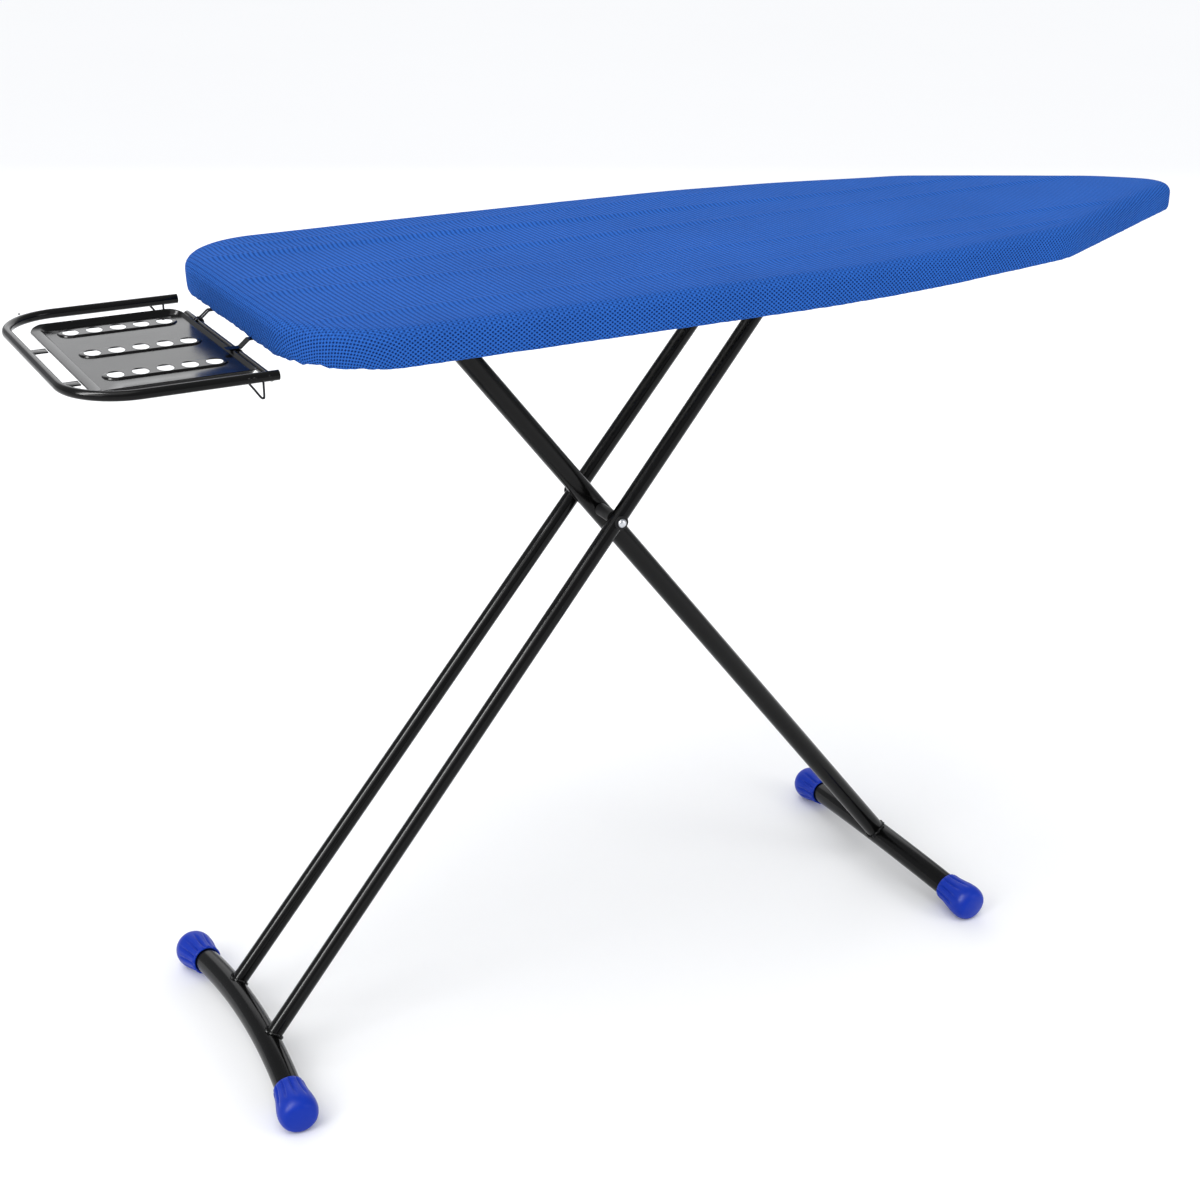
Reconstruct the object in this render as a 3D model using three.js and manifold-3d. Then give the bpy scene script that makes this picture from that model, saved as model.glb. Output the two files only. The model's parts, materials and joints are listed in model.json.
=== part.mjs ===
// Folding ironing board: steel mesh deck with pad and stretch cover, crossed tube legs, iron rest.
// Millimetres, +Z up. X runs along the board towards its nose, Y across it.
// Origin: on the floor, under the middle of the whole length from iron rest to nose.

import * as THREE from 'three';
import { mergeVertices } from 'three/addons/utils/BufferGeometryUtils.js';
import Module from 'manifold-3d';

const wasm = await Module();
wasm.setup();

// ---------------------------------------------------------------- driving dimensions

const GAP = 0.3;                 // clearance between touching pieces
const REACH = 730.5;             // half of the whole length, iron rest to nose

const TOP_Z = 900;               // ironing surface above the floor
const HALF_WIDTH = 225;          // cover, middle to side
const TAIL_X = -526.5;           // square end of the cover

// Corners of the cover's near side, from the square end to the nose, each with its rounding.
const NEAR_CORNERS = [
  { x: TAIL_X, y: -HALF_WIDTH, radius: 108 },
  { x: 135, y: -HALF_WIDTH, radius: 1500 },
  { x: 430, y: -172, radius: 150 },
  { x: REACH, y: -18.5, radius: 30 },
];

const COVER_WALL = 2;
const COVER_DEPTH = 38;
const HEM_WIDTH = 22;            // turned under the deck
const PAD_THICKNESS = 7;
const DECK_THICKNESS = 0.7;
const SKIRT_DEPTH = 18;
const SHEET = 1.5;               // braces and rails

const PIVOT = { x: -100.5, z: 592 };
const AXIS_Z = 853;              // height of both leg tops: fixed hinge and sliding bar
const OUTER_ANGLE = THREE.MathUtils.degToRad(50.7);
const INNER_ANGLE = THREE.MathUtils.degToRad(51.35);
const FOLD_TRAVEL = THREE.MathUtils.degToRad(47);

const OUTER_TUBE = 19;           // outside diameters
const INNER_TUBE = 25;
const FOOT_TUBE = 30;
const TUBE_WALL = 1;
const OUTER_TOP_SPREAD = 48;     // outer leg tubes, middle of the leg to tube centre
const OUTER_FOOT_SPREAD = 61;
const FOOT_HALF = 143;           // middle of the foot to the rim of its cap
const FOOT_ARCH = 11;            // rise of the foot tube in the middle
const CAP_RADIUS = 23;
const CAP_LENGTH = 54;
const CAP_SOCKET = 26;
const CAP_FLAT = 0.8;            // worn flat under each cap

const REST_Z = 853;              // centre of the iron rest's tube
const REST_TUBE = 10;
const REST_HALF = 159;           // middle to the centre of each side rail
const REST_CORNER = 62;
const REST_OPEN_X = -530.7;      // open ends of the side rails
const HINGE_BAR = { x: -536, z: 849, radius: 3.5 };
const TRAY_FRONT_X = -703.5;
const TRAY_REAR_X = -541.5;
const TRAY_NEAR_Y = -142;
const TRAY_FAR_Y = 112;
const TRAY_FLOOR_Z = 850;
const TRAY_SHEET = 1;

// ---------------------------------------------------------------- materials

function finish(color, roughness, metalness) {
  return new THREE.MeshStandardMaterial({ color, roughness, metalness });
}

const blackPaint = finish(0x0d0d0e, 0.28, 0.2);
const deckPaint = finish(0x8f9498, 0.5, 0.4);
const zinc = finish(0xb9bcc0, 0.35, 1.0);
const springSteel = finish(0x77797c, 0.4, 1.0);
const bluePlastic = finish(0x1c3fc4, 0.35, 0.0);
const nylon = finish(0x202022, 0.5, 0.0);
const blueMesh = finish(0x1c4fb0, 0.85, 0.0);
const foam = finish(0xd8d8d2, 0.95, 0.0);
const elastic = finish(0x173a86, 0.9, 0.0);

// ---------------------------------------------------------------- geometry helpers

function toSolid(geometry) {
  const bare = geometry.clone();
  bare.deleteAttribute('normal');
  bare.deleteAttribute('uv');
  const merged = mergeVertices(bare, 1e-4);
  return new wasm.Manifold(new wasm.Mesh({
    numProp: 3,
    vertProperties: merged.attributes.position.array,
    triVerts: new Uint32Array(merged.index.array),
  }));
}

function toGeometry(solid) {
  const { vertProperties, triVerts } = solid.getMesh();
  const geometry = new THREE.BufferGeometry();
  geometry.setAttribute('position', new THREE.BufferAttribute(vertProperties, 3));
  geometry.setIndex(new THREE.BufferAttribute(triVerts, 1));
  geometry.computeVertexNormals();
  return geometry;
}

function cut(geometry, ...tools) {
  let solid = toSolid(geometry);
  for (const tool of tools) solid = solid.subtract(toSolid(tool));
  return toGeometry(solid);
}

function join(geometry, ...others) {
  let solid = toSolid(geometry);
  for (const other of others) solid = solid.add(toSolid(other));
  return toGeometry(solid);
}

function box(x0, x1, y0, y1, z0, z1) {
  const geometry = new THREE.BoxGeometry(x1 - x0, y1 - y0, z1 - z0);
  return geometry.translate((x0 + x1) / 2, (y0 + y1) / 2, (z0 + z1) / 2);
}

// A round bar along Y, through (x, z).
function barY(x, z, radius, y0, y1, sides = 16) {
  const geometry = new THREE.CylinderGeometry(radius, radius, y1 - y0, sides);
  return geometry.translate(x, 0, 0).translate(0, (y0 + y1) / 2, z);
}

function ring(outer, inner) {
  const shape = new THREE.Shape().absarc(0, 0, outer, 0, 2 * Math.PI);
  if (inner > 0) shape.holes.push(new THREE.Path().absarc(0, 0, inner, 0, 2 * Math.PI, true));
  return shape;
}

// Tube (or solid bar, when inner is 0) along any curve. A round outline gets two sides per segment.
function tube(curve, outer, inner, steps, sides = 16) {
  return new THREE.ExtrudeGeometry(ring(outer, inner), {
    extrudePath: curve,
    steps,
    curveSegments: sides / 2,
    bevelEnabled: false,
  });
}

function straight(from, to, outer, inner, sides = 16) {
  return tube(new THREE.LineCurve3(from, to), outer, inner, 1, sides);
}

// A plate: an outline in X and Y between two heights.
function plate(shape, z0, z1, segments = 12) {
  const settings = { depth: z1 - z0, bevelEnabled: false, curveSegments: segments };
  return new THREE.ExtrudeGeometry(shape, settings).translate(0, 0, z0);
}

// Pieces drawn from the side, in X and Z, extruded from y0 to y1.
function sidePlate(shape, y0, y1, segments = 6) {
  const settings = { depth: y1 - y0, bevelEnabled: false, curveSegments: segments };
  return new THREE.ExtrudeGeometry(shape, settings).rotateX(Math.PI / 2).translate(0, y1, 0);
}

function vec(x, y, z) {
  return new THREE.Vector3(x, y, z);
}

// ---------------------------------------------------------------- the scene

const group = new THREE.Group();
const board = new THREE.Group();
const innerLeg = new THREE.Group();
const outerLeg = new THREE.Group();
const carriage = new THREE.Group();
const ironRest = new THREE.Group();
group.add(board, innerLeg, outerLeg, carriage, ironRest);

function add(parent, name, geometry, material) {
  const mesh = new THREE.Mesh(geometry, material);
  mesh.name = name;
  parent.add(mesh);
  return mesh;
}

// ---------------------------------------------------------------- board: deck, pad and cover

// Which way the outline's edge from one corner to the next faces.
function facing(from, to) {
  return Math.atan2(to.y - from.y, to.x - from.x) - Math.PI / 2;
}

// The board's outline, drawn inwards by an even margin: its rounded corners, joined by straight edges.
function outline(inset, Type = THREE.Shape) {
  const farCorners = NEAR_CORNERS.map(({ x, y, radius }) => ({ x, y: -y, radius })).reverse();
  const corners = [...NEAR_CORNERS, ...farCorners];
  const shape = new Type();
  corners.forEach((corner, i) => {
    const start = facing(corners.at(i - 1), corner);
    const end = facing(corner, corners[(i + 1) % corners.length]);
    const halfTurn = (end - start + 2 * Math.PI) % (2 * Math.PI) / 2;
    const toCentre = corner.radius / Math.cos(halfTurn);
    const x = corner.x - toCentre * Math.cos(start + halfTurn);
    const y = corner.y - toCentre * Math.sin(start + halfTurn);
    shape.absarc(x, y, corner.radius - inset, start, start + 2 * halfTurn);
  });
  return shape;
}

const coverBottom = TOP_Z - COVER_DEPTH;
const padTop = TOP_Z - COVER_WALL - GAP;
const padBottom = padTop - PAD_THICKNESS;
const deckTop = padBottom - GAP;
const deckBottom = deckTop - DECK_THICKNESS;
const skirtTop = deckBottom - GAP;
const skirtBottom = skirtTop - SKIRT_DEPTH;
const skirtInset = COVER_WALL + 2;
const SKIRT_WALL = 1;
const SKIRT_LIP = 7;

add(board, 'cover', cut(
  plate(outline(0), coverBottom, TOP_Z),
  plate(outline(COVER_WALL), coverBottom + COVER_WALL, TOP_Z - COVER_WALL),
  plate(outline(HEM_WIDTH), coverBottom - 1, coverBottom + COVER_WALL + 1),
), blueMesh);

add(board, 'pad', plate(outline(COVER_WALL + 0.6), padBottom, padTop), foam);

// Steam holes: rows of hexagons, staggered, that stay clear of the edge.
const HOLE_RADIUS = 14;
const HOLE_PITCH_X = 84;
const HOLE_PITCH_Y = 60;

// Half width of the board at x, read off the outline's far side.
function halfWidthAt(x, inset) {
  const far = outline(inset).getPoints(24).filter((point) => point.y >= 0);
  const after = far.findIndex((point) => point.x <= x);
  if (after < 1) return 0;
  const share = (x - far[after].x) / (far[after - 1].x - far[after].x);
  return far[after].y + share * (far[after - 1].y - far[after].y);
}

function steamHoles() {
  const holes = [];
  for (let row = -3; row <= 3; row++) {
    const stagger = row % 2 === 0 ? 0 : HOLE_PITCH_X / 2;
    for (let x = TAIL_X + 75 + stagger; x < REACH - 60; x += HOLE_PITCH_X) {
      const y = row * HOLE_PITCH_Y;
      if (Math.abs(y) + 30 > halfWidthAt(x, skirtInset)) continue;
      const hole = new THREE.Path();
      for (let corner = 0; corner < 6; corner++) {
        const angle = -corner * Math.PI / 3;
        const px = x + HOLE_RADIUS * Math.cos(angle);
        const py = y + HOLE_RADIUS * Math.sin(angle);
        if (corner === 0) hole.moveTo(px, py);
        else hole.lineTo(px, py);
      }
      hole.closePath();
      holes.push(hole);
    }
  }
  return holes;
}

const deckShape = outline(skirtInset);
deckShape.holes.push(...steamHoles());
add(board, 'deck_panel', plate(deckShape, deckBottom, deckTop), deckPaint);

const skirtShape = outline(skirtInset);
skirtShape.holes.push(outline(skirtInset + SKIRT_WALL, THREE.Path));
const skirtLip = outline(skirtInset);
skirtLip.holes.push(outline(skirtInset + SKIRT_LIP, THREE.Path));
add(board, 'deck_skirt', join(
  plate(skirtShape, skirtBottom, skirtTop),
  plate(skirtLip, skirtBottom, skirtBottom + SKIRT_WALL),
), deckPaint);

const hemCord = outline(HEM_WIDTH - 5);
hemCord.holes.push(outline(HEM_WIDTH - 1.5, THREE.Path));
const hemCordBottom = coverBottom + COVER_WALL + GAP;
add(board, 'hem_elastic', plate(hemCord, hemCordBottom, skirtBottom - GAP), elastic);

// ---------------------------------------------------------------- board: ironwork underneath

const BRACE_DEPTH = 20.5;
const braceTop = deckBottom - GAP;
const braceBottom = braceTop - BRACE_DEPTH;
const BRACE_WIDTH = 30;

// A transverse channel, open upwards, under the deck.
function brace(x) {
  const half = BRACE_WIDTH / 2;
  const reach = halfWidthAt(x + half, HEM_WIDTH) - 1;
  return cut(
    box(x - half, x + half, -reach, reach, braceBottom, braceTop),
    box(x - half + SHEET, x + half - SHEET, -reach - 1, reach + 1, braceBottom + SHEET, braceTop + 1),
  );
}

const innerUpper = (AXIS_Z - PIVOT.z) / Math.sin(INNER_ANGLE);
const outerUpper = (AXIS_Z - PIVOT.z) / Math.sin(OUTER_ANGLE);
const hingeX = PIVOT.x - innerUpper * Math.cos(INNER_ANGLE);
const slideX = PIVOT.x + outerUpper * Math.cos(OUTER_ANGLE);
const foldedInner = INNER_ANGLE - FOLD_TRAVEL;
const foldedOuter = Math.asin(innerUpper * Math.sin(foldedInner) / outerUpper);
const foldedSlideX = hingeX + innerUpper * Math.cos(foldedInner) + outerUpper * Math.cos(foldedOuter);

const railStart = slideX - 28;
const railEnd = foldedSlideX + 28;
const railTop = braceBottom - GAP;
const RAIL_HEIGHT = 29;
const railBottom = railTop - RAIL_HEIGHT;
const RAIL_INNER_Y = 92;
const RAIL_OUTER_Y = 112;

add(board, 'brace_tail', brace(hingeX), deckPaint);
add(board, 'brace_middle', brace(railStart + BRACE_WIDTH / 2 + 2), deckPaint);
add(board, 'brace_nose', brace(railEnd - BRACE_WIDTH / 2 - 2), deckPaint);

// C-section slide rail, open towards the middle of the board.
function slideRail(side) {
  const y0 = side > 0 ? RAIL_INNER_Y : -RAIL_OUTER_Y;
  const y1 = side > 0 ? RAIL_OUTER_Y : -RAIL_INNER_Y;
  const open0 = side > 0 ? y0 - 1 : y0 + SHEET;
  const open1 = side > 0 ? y1 - SHEET : y1 + 1;
  return cut(
    box(railStart, railEnd, y0, y1, railBottom, railTop),
    box(railStart - 1, railEnd + 1, open0, open1, railBottom + SHEET, railTop - SHEET),
  );
}

add(board, 'slide_rail_near', slideRail(-1), zinc);
add(board, 'slide_rail_far', slideRail(1), zinc);

// Perforated strip that the latch pawl locks into.
const RACK_SLOTS = 8;
const RACK_HALF = 13;
const RACK_THICKNESS = 1.7;
const rackBottom = railTop - RACK_THICKNESS;
const rackPitch = (foldedSlideX - slideX) / RACK_SLOTS;
const rackSlots = [];
for (let i = 0; i < RACK_SLOTS; i++) {
  const x = slideX + 29 + i * rackPitch;
  rackSlots.push(box(x - 5, x + 5, -7, 7, rackBottom - 1, railTop + 1));
}
add(board, 'height_rack', cut(
  box(railStart, railEnd, -RACK_HALF, RACK_HALF, rackBottom, railTop),
  ...rackSlots,
), zinc);

// Hinge bracket of the inner leg: a plate under the tail brace with two ears.
const EAR_Y = 34;
const EAR_WALL = 2.5;
const PIN_RADIUS = 4;
const bracketTop = braceBottom - GAP;
const bracketBottom = bracketTop - 1.7;

function ear(side) {
  const drop = new THREE.Shape();
  drop.moveTo(hingeX - 20, bracketTop);
  drop.lineTo(hingeX - 10, AXIS_Z);
  drop.absarc(hingeX, AXIS_Z, 10, Math.PI, 2 * Math.PI);
  drop.lineTo(hingeX + 20, bracketTop);
  const y0 = side > 0 ? EAR_Y : -EAR_Y - EAR_WALL;
  return sidePlate(drop, y0, y0 + EAR_WALL);
}

add(board, 'leg_bracket', cut(
  join(
    box(hingeX - 24, hingeX + 24, -EAR_Y - EAR_WALL, EAR_Y + EAR_WALL, bracketBottom, bracketTop),
    ear(-1),
    ear(1),
  ),
  barY(hingeX, AXIS_Z, PIN_RADIUS + GAP, -60, 60),
), zinc);

// A headed pin or rivet along Y: dome, shank, dome.
function rivet(x, z, shank, head, half, rise) {
  const profile = [
    new THREE.Vector2(0, -half - rise),
    new THREE.Vector2(head * 0.6, -half - rise * 0.75),
    new THREE.Vector2(head, -half),
    new THREE.Vector2(shank, -half),
    new THREE.Vector2(shank, half),
    new THREE.Vector2(head, half),
    new THREE.Vector2(head * 0.6, half + rise * 0.75),
    new THREE.Vector2(0, half + rise),
  ];
  return new THREE.LatheGeometry(profile, 16).translate(x, 0, z);
}

add(board, 'hinge_pin', rivet(hingeX, AXIS_Z, PIN_RADIUS, 7, EAR_Y + EAR_WALL + GAP, 3), zinc);

// ---------------------------------------------------------------- foot tubes and caps

// The foot tube is bent in the plane of its leg; its ends run straight into the caps.
class FootCurve extends THREE.Curve {
  constructor(middle, upLeg) {
    super();
    this.middle = middle;
    this.upLeg = upLeg;
    this.radius = (FOOT_HALF ** 2 + FOOT_ARCH ** 2) / (2 * FOOT_ARCH);
    this.bend = Math.asin(FOOT_HALF / this.radius);
    this.arc = this.radius * this.bend;
    this.total = this.arc + CAP_SOCKET - 1;
  }

  getPoint(t, target = new THREE.Vector3()) {
    const run = (t * 2 - 1) * this.total;
    const angle = Math.sign(run) * Math.min(Math.abs(run) / this.radius, this.bend);
    const past = Math.max(0, Math.abs(run) - this.arc);
    const along = this.radius * Math.sin(angle) + Math.sign(run) * past * Math.cos(this.bend);
    const drop = this.radius * (1 - Math.cos(angle)) + past * Math.sin(this.bend);
    target.copy(this.middle).addScaledVector(this.upLeg, -drop);
    target.y += along;
    return target;
  }
}

// A flared cap with a socket for the foot tube, its rim at the origin and its end along +Y.
function capBlank() {
  const bore = FOOT_TUBE / 2 + GAP;
  const profile = [
    new THREE.Vector2(0, CAP_SOCKET),
    new THREE.Vector2(bore, CAP_SOCKET),
    new THREE.Vector2(bore, 0),
    new THREE.Vector2(bore + 2, 0),
    new THREE.Vector2(CAP_RADIUS - 2.6, 15),
    new THREE.Vector2(CAP_RADIUS, 36),
    new THREE.Vector2(CAP_RADIUS - 0.8, 44),
    new THREE.Vector2(CAP_RADIUS - 5, 51),
    new THREE.Vector2(CAP_RADIUS - 11, CAP_LENGTH - 0.8),
    new THREE.Vector2(0, CAP_LENGTH),
  ];
  return new THREE.LatheGeometry(profile, 20);
}

function placedCap(footCurve, side) {
  const rimAt = footCurve.arc / footCurve.total;
  const rim = footCurve.getPoint(0.5 + side * rimAt / 2);
  const end = footCurve.getPoint(side > 0 ? 1 : 0);
  const turn = new THREE.Quaternion().setFromUnitVectors(vec(0, 1, 0), end.clone().sub(rim).normalize());
  return capBlank().applyQuaternion(turn).translate(rim.x, rim.y, rim.z);
}

// Foot middle such that the caps' flats lie on the floor.
function footMiddle(angle, side) {
  const upLeg = vec(side * Math.cos(angle), 0, Math.sin(angle));
  const trial = placedCap(new FootCurve(vec(0, 0, 0), upLeg), 1);
  trial.computeBoundingBox();
  const z = -trial.boundingBox.min.z - CAP_FLAT;
  const reach = (PIVOT.z - z) / Math.sin(angle);
  return { upLeg, reach, middle: vec(PIVOT.x - side * reach * Math.cos(angle), 0, z) };
}

const outerFoot = footMiddle(OUTER_ANGLE, 1);
const innerFoot = footMiddle(INNER_ANGLE, -1);

function addFoot(parent, prefix, foot) {
  const curve = new FootCurve(foot.middle, foot.upLeg);
  const inside = FOOT_TUBE / 2 - TUBE_WALL;
  add(parent, prefix + '_foot_tube', tube(curve, FOOT_TUBE / 2, inside, 14, 16), blackPaint);
  const underFloor = box(-2000, 2000, -2000, 2000, -100, 0);
  add(parent, prefix + '_foot_cap_near', cut(placedCap(curve, -1), underFloor), bluePlastic);
  add(parent, prefix + '_foot_cap_far', cut(placedCap(curve, 1), underFloor), bluePlastic);
  return tube(curve, FOOT_TUBE / 2 + GAP, 0, 14, 16);
}

const outerFootSpace = addFoot(outerLeg, 'outer_leg', outerFoot);
const innerFootSpace = addFoot(innerLeg, 'inner_leg', innerFoot);

// ---------------------------------------------------------------- inner leg: one tube

function innerPoint(distance) {
  return vec(
    PIVOT.x - distance * Math.cos(INNER_ANGLE),
    0,
    PIVOT.z + distance * Math.sin(INNER_ANGLE),
  );
}

const RIVET_RADIUS = 4;
const BUSH_RADIUS = 8;
const rivetHole = barY(PIVOT.x, PIVOT.z, RIVET_RADIUS + GAP, -90, 90);
const bushHalf = EAR_Y - 1.5;

add(innerLeg, 'inner_leg_tube', cut(
  straight(innerPoint(-innerFoot.reach), innerPoint(innerUpper - 1), INNER_TUBE / 2, INNER_TUBE / 2 - TUBE_WALL, 20),
  rivetHole,
  innerFootSpace,
  barY(hingeX, AXIS_Z, BUSH_RADIUS + GAP, -60, 60),
), blackPaint);

add(innerLeg, 'inner_leg_bush', cut(
  barY(hingeX, AXIS_Z, BUSH_RADIUS, -bushHalf, bushHalf),
  barY(hingeX, AXIS_Z, PIN_RADIUS + GAP, -60, 60),
), blackPaint);

// ---------------------------------------------------------------- outer leg: two tubes

const outerLength = outerUpper + outerFoot.reach;
const spreadPerLength = (OUTER_FOOT_SPREAD - OUTER_TOP_SPREAD) / outerLength;
const pivotSpread = OUTER_TOP_SPREAD + spreadPerLength * outerUpper;

function outerPoint(distance, side) {
  const spread = pivotSpread - spreadPerLength * distance;
  return vec(
    PIVOT.x + distance * Math.cos(OUTER_ANGLE),
    side * spread,
    PIVOT.z + distance * Math.sin(OUTER_ANGLE),
  );
}

const BAR_RADIUS = 8;
const SHOE_INNER_Y = RAIL_INNER_Y + 2;
const SHOE_OUTER_Y = RAIL_OUTER_Y - 4;

function outerTube(side) {
  return cut(
    straight(outerPoint(-outerFoot.reach, side), outerPoint(outerUpper - 1, side),
      OUTER_TUBE / 2, OUTER_TUBE / 2 - TUBE_WALL, 16),
    rivetHole,
    outerFootSpace,
    barY(slideX, AXIS_Z, BAR_RADIUS + GAP, -120, 120),
  );
}

add(outerLeg, 'outer_leg_tube_near', outerTube(-1), blackPaint);
add(outerLeg, 'outer_leg_tube_far', outerTube(1), blackPaint);

const slideBar = new THREE.LineCurve3(vec(slideX, -SHOE_OUTER_Y + 2, AXIS_Z), vec(slideX, SHOE_OUTER_Y - 2, AXIS_Z));
add(outerLeg, 'outer_leg_slide_bar', tube(slideBar, BAR_RADIUS, BAR_RADIUS - TUBE_WALL, 1), blackPaint);

// Crossing rivet, its washers outside the outer tubes and the spacers beside the inner tube.
const washerInner = pivotSpread + OUTER_TUBE / 2 + GAP;
const WASHER = 1.5;
add(outerLeg, 'pivot_rivet', rivet(PIVOT.x, PIVOT.z, RIVET_RADIUS, 7, washerInner + WASHER + GAP, 3.5), zinc);

function collar(y0, y1, radius) {
  return cut(
    barY(PIVOT.x, PIVOT.z, radius, y0, y1),
    barY(PIVOT.x, PIVOT.z, RIVET_RADIUS + GAP, y0 - 1, y1 + 1),
  );
}

const spacerInner = INNER_TUBE / 2 + GAP;
const spacerOuter = pivotSpread - OUTER_TUBE / 2 - GAP - 0.2;
add(outerLeg, 'pivot_washer_near', collar(-washerInner - WASHER, -washerInner, 8.5), nylon);
add(outerLeg, 'pivot_washer_far', collar(washerInner, washerInner + WASHER, 8.5), nylon);
add(outerLeg, 'pivot_spacer_near', collar(-spacerOuter, -spacerInner, 7.5), nylon);
add(outerLeg, 'pivot_spacer_far', collar(spacerInner, spacerOuter, 7.5), nylon);

// ---------------------------------------------------------------- sliding carriage and latch

const SHOE_HALF_LENGTH = 17;
const SHOE_HALF_HEIGHT = 10;

function slideShoe(side) {
  const y0 = side > 0 ? SHOE_INNER_Y : -SHOE_OUTER_Y;
  const y1 = side > 0 ? SHOE_OUTER_Y : -SHOE_INNER_Y;
  return cut(
    box(slideX - SHOE_HALF_LENGTH, slideX + SHOE_HALF_LENGTH, y0, y1,
      AXIS_Z - SHOE_HALF_HEIGHT, AXIS_Z + SHOE_HALF_HEIGHT),
    barY(slideX, AXIS_Z, BAR_RADIUS + GAP, -120, 120),
  );
}

add(carriage, 'slide_shoe_near', slideShoe(-1), nylon);
add(carriage, 'slide_shoe_far', slideShoe(1), nylon);

// Strap between the shoes, with a pair of lugs that carry the latch lever.
const strapX = slideX + SHOE_HALF_LENGTH + GAP;
const STRAP = 2;
const LEVER_X = strapX + STRAP + 10;
const LEVER_Z = 830;
const LEVER_PIVOT_Y = 70;
const LEVER_RADIUS = 3;
const PAWL_Z = rackBottom - 0.8;
const lugReach = LEVER_X + 9;

add(carriage, 'latch_strap', cut(
  join(
    box(strapX, strapX + STRAP, -SHOE_OUTER_Y + 1, SHOE_OUTER_Y - 1, AXIS_Z - 6, AXIS_Z + 6),
    box(strapX, strapX + STRAP, LEVER_PIVOT_Y - 14, LEVER_PIVOT_Y + 14, LEVER_Z - 8, AXIS_Z + 6),
    box(strapX, lugReach, LEVER_PIVOT_Y - 14, LEVER_PIVOT_Y + 14, AXIS_Z + 2, AXIS_Z + 2 + STRAP),
  ),
  box(strapX - 1, strapX + STRAP + 1, LEVER_PIVOT_Y - 2.8, LEVER_PIVOT_Y + 2.8, LEVER_Z - 2.8, LEVER_Z + 2.8),
), zinc);

const latchPin = new THREE.LineCurve3(
  vec(strapX - 4, LEVER_PIVOT_Y, LEVER_Z), vec(LEVER_X + 8, LEVER_PIVOT_Y, LEVER_Z));
add(carriage, 'latch_pin', tube(latchPin, 2.4, 0, 1, 12), zinc);

// Lever: pawl standing up at the rack, straight arm out to the far edge, flat boss at the pin.
const LEVER_END_Y = 200;
const leverPath = new THREE.CurvePath();
leverPath.add(new THREE.LineCurve3(vec(LEVER_X, 0, PAWL_Z), vec(LEVER_X, 0, LEVER_Z + 10)));
leverPath.add(new THREE.QuadraticBezierCurve3(
  vec(LEVER_X, 0, LEVER_Z + 10), vec(LEVER_X, 0, LEVER_Z), vec(LEVER_X, 10, LEVER_Z)));
leverPath.add(new THREE.LineCurve3(vec(LEVER_X, 10, LEVER_Z), vec(LEVER_X, LEVER_END_Y, LEVER_Z)));

const latchPinSpace = new THREE.LineCurve3(
  vec(strapX - 10, LEVER_PIVOT_Y, LEVER_Z), vec(LEVER_X + 20, LEVER_PIVOT_Y, LEVER_Z));
add(carriage, 'latch_lever', cut(
  join(
    tube(leverPath, LEVER_RADIUS, 0, 24, 8),
    box(LEVER_X - 4, LEVER_X + 4, LEVER_PIVOT_Y - 9, LEVER_PIVOT_Y + 9, LEVER_Z - 5, LEVER_Z + 5),
  ),
  tube(latchPinSpace, 2.4 + GAP, 0, 1, 12),
), blackPaint);

const GRIP_START_Y = 142;
const gripCurve = new THREE.LineCurve3(vec(LEVER_X, GRIP_START_Y, LEVER_Z), vec(LEVER_X, LEVER_END_Y + 8, LEVER_Z));
const gripBore = new THREE.LineCurve3(
  vec(LEVER_X, GRIP_START_Y - 1, LEVER_Z), vec(LEVER_X, LEVER_END_Y + GAP, LEVER_Z));
add(carriage, 'latch_grip', cut(
  tube(gripCurve, 8, 0, 1, 12),
  tube(gripBore, LEVER_RADIUS + GAP, 0, 1, 12),
), nylon);

// ---------------------------------------------------------------- iron rest

const restFrontX = -REACH + REST_TUBE / 2;
const restPath = new THREE.CurvePath();

function restCorner(side) {
  const tangent = REST_CORNER * 0.45;
  const outward = side * REST_HALF;
  const inward = side * (REST_HALF - REST_CORNER);
  const onRail = vec(restFrontX + REST_CORNER, outward, REST_Z);
  const onFront = vec(restFrontX, inward, REST_Z);
  return {
    onRail,
    onFront,
    railHandle: vec(restFrontX + tangent, outward, REST_Z),
    frontHandle: vec(restFrontX, side * (REST_HALF - tangent), REST_Z),
  };
}

const nearCorner = restCorner(-1);
const farCorner = restCorner(1);
restPath.add(new THREE.LineCurve3(vec(REST_OPEN_X, -REST_HALF, REST_Z), nearCorner.onRail));
restPath.add(new THREE.CubicBezierCurve3(
  nearCorner.onRail, nearCorner.railHandle, nearCorner.frontHandle, nearCorner.onFront));
restPath.add(new THREE.LineCurve3(nearCorner.onFront, farCorner.onFront));
restPath.add(new THREE.CubicBezierCurve3(
  farCorner.onFront, farCorner.frontHandle, farCorner.railHandle, farCorner.onRail));
restPath.add(new THREE.LineCurve3(farCorner.onRail, vec(REST_OPEN_X, REST_HALF, REST_Z)));

add(ironRest, 'rest_frame', tube(restPath, REST_TUBE / 2, REST_TUBE / 2 - TUBE_WALL, 50, 8), blackPaint);

// Pressed tray: a floor with three rows of round holes, and a low wall on all sides but the board's.
const TRAY_WALL_HEIGHT = 6;
const TRAY_CORNER = 16;
const TRAY_ROW_PITCH = 82;
const TRAY_HOLE_PITCH = 24.5;
const TRAY_HOLE_RADIUS = 8;
const TRAY_HOLES_X = -617.5;     // middle hole of each row
const trayUnder = TRAY_FLOOR_Z - TRAY_SHEET;
const trayRim = TRAY_FLOOR_Z + TRAY_WALL_HEIGHT;

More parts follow.
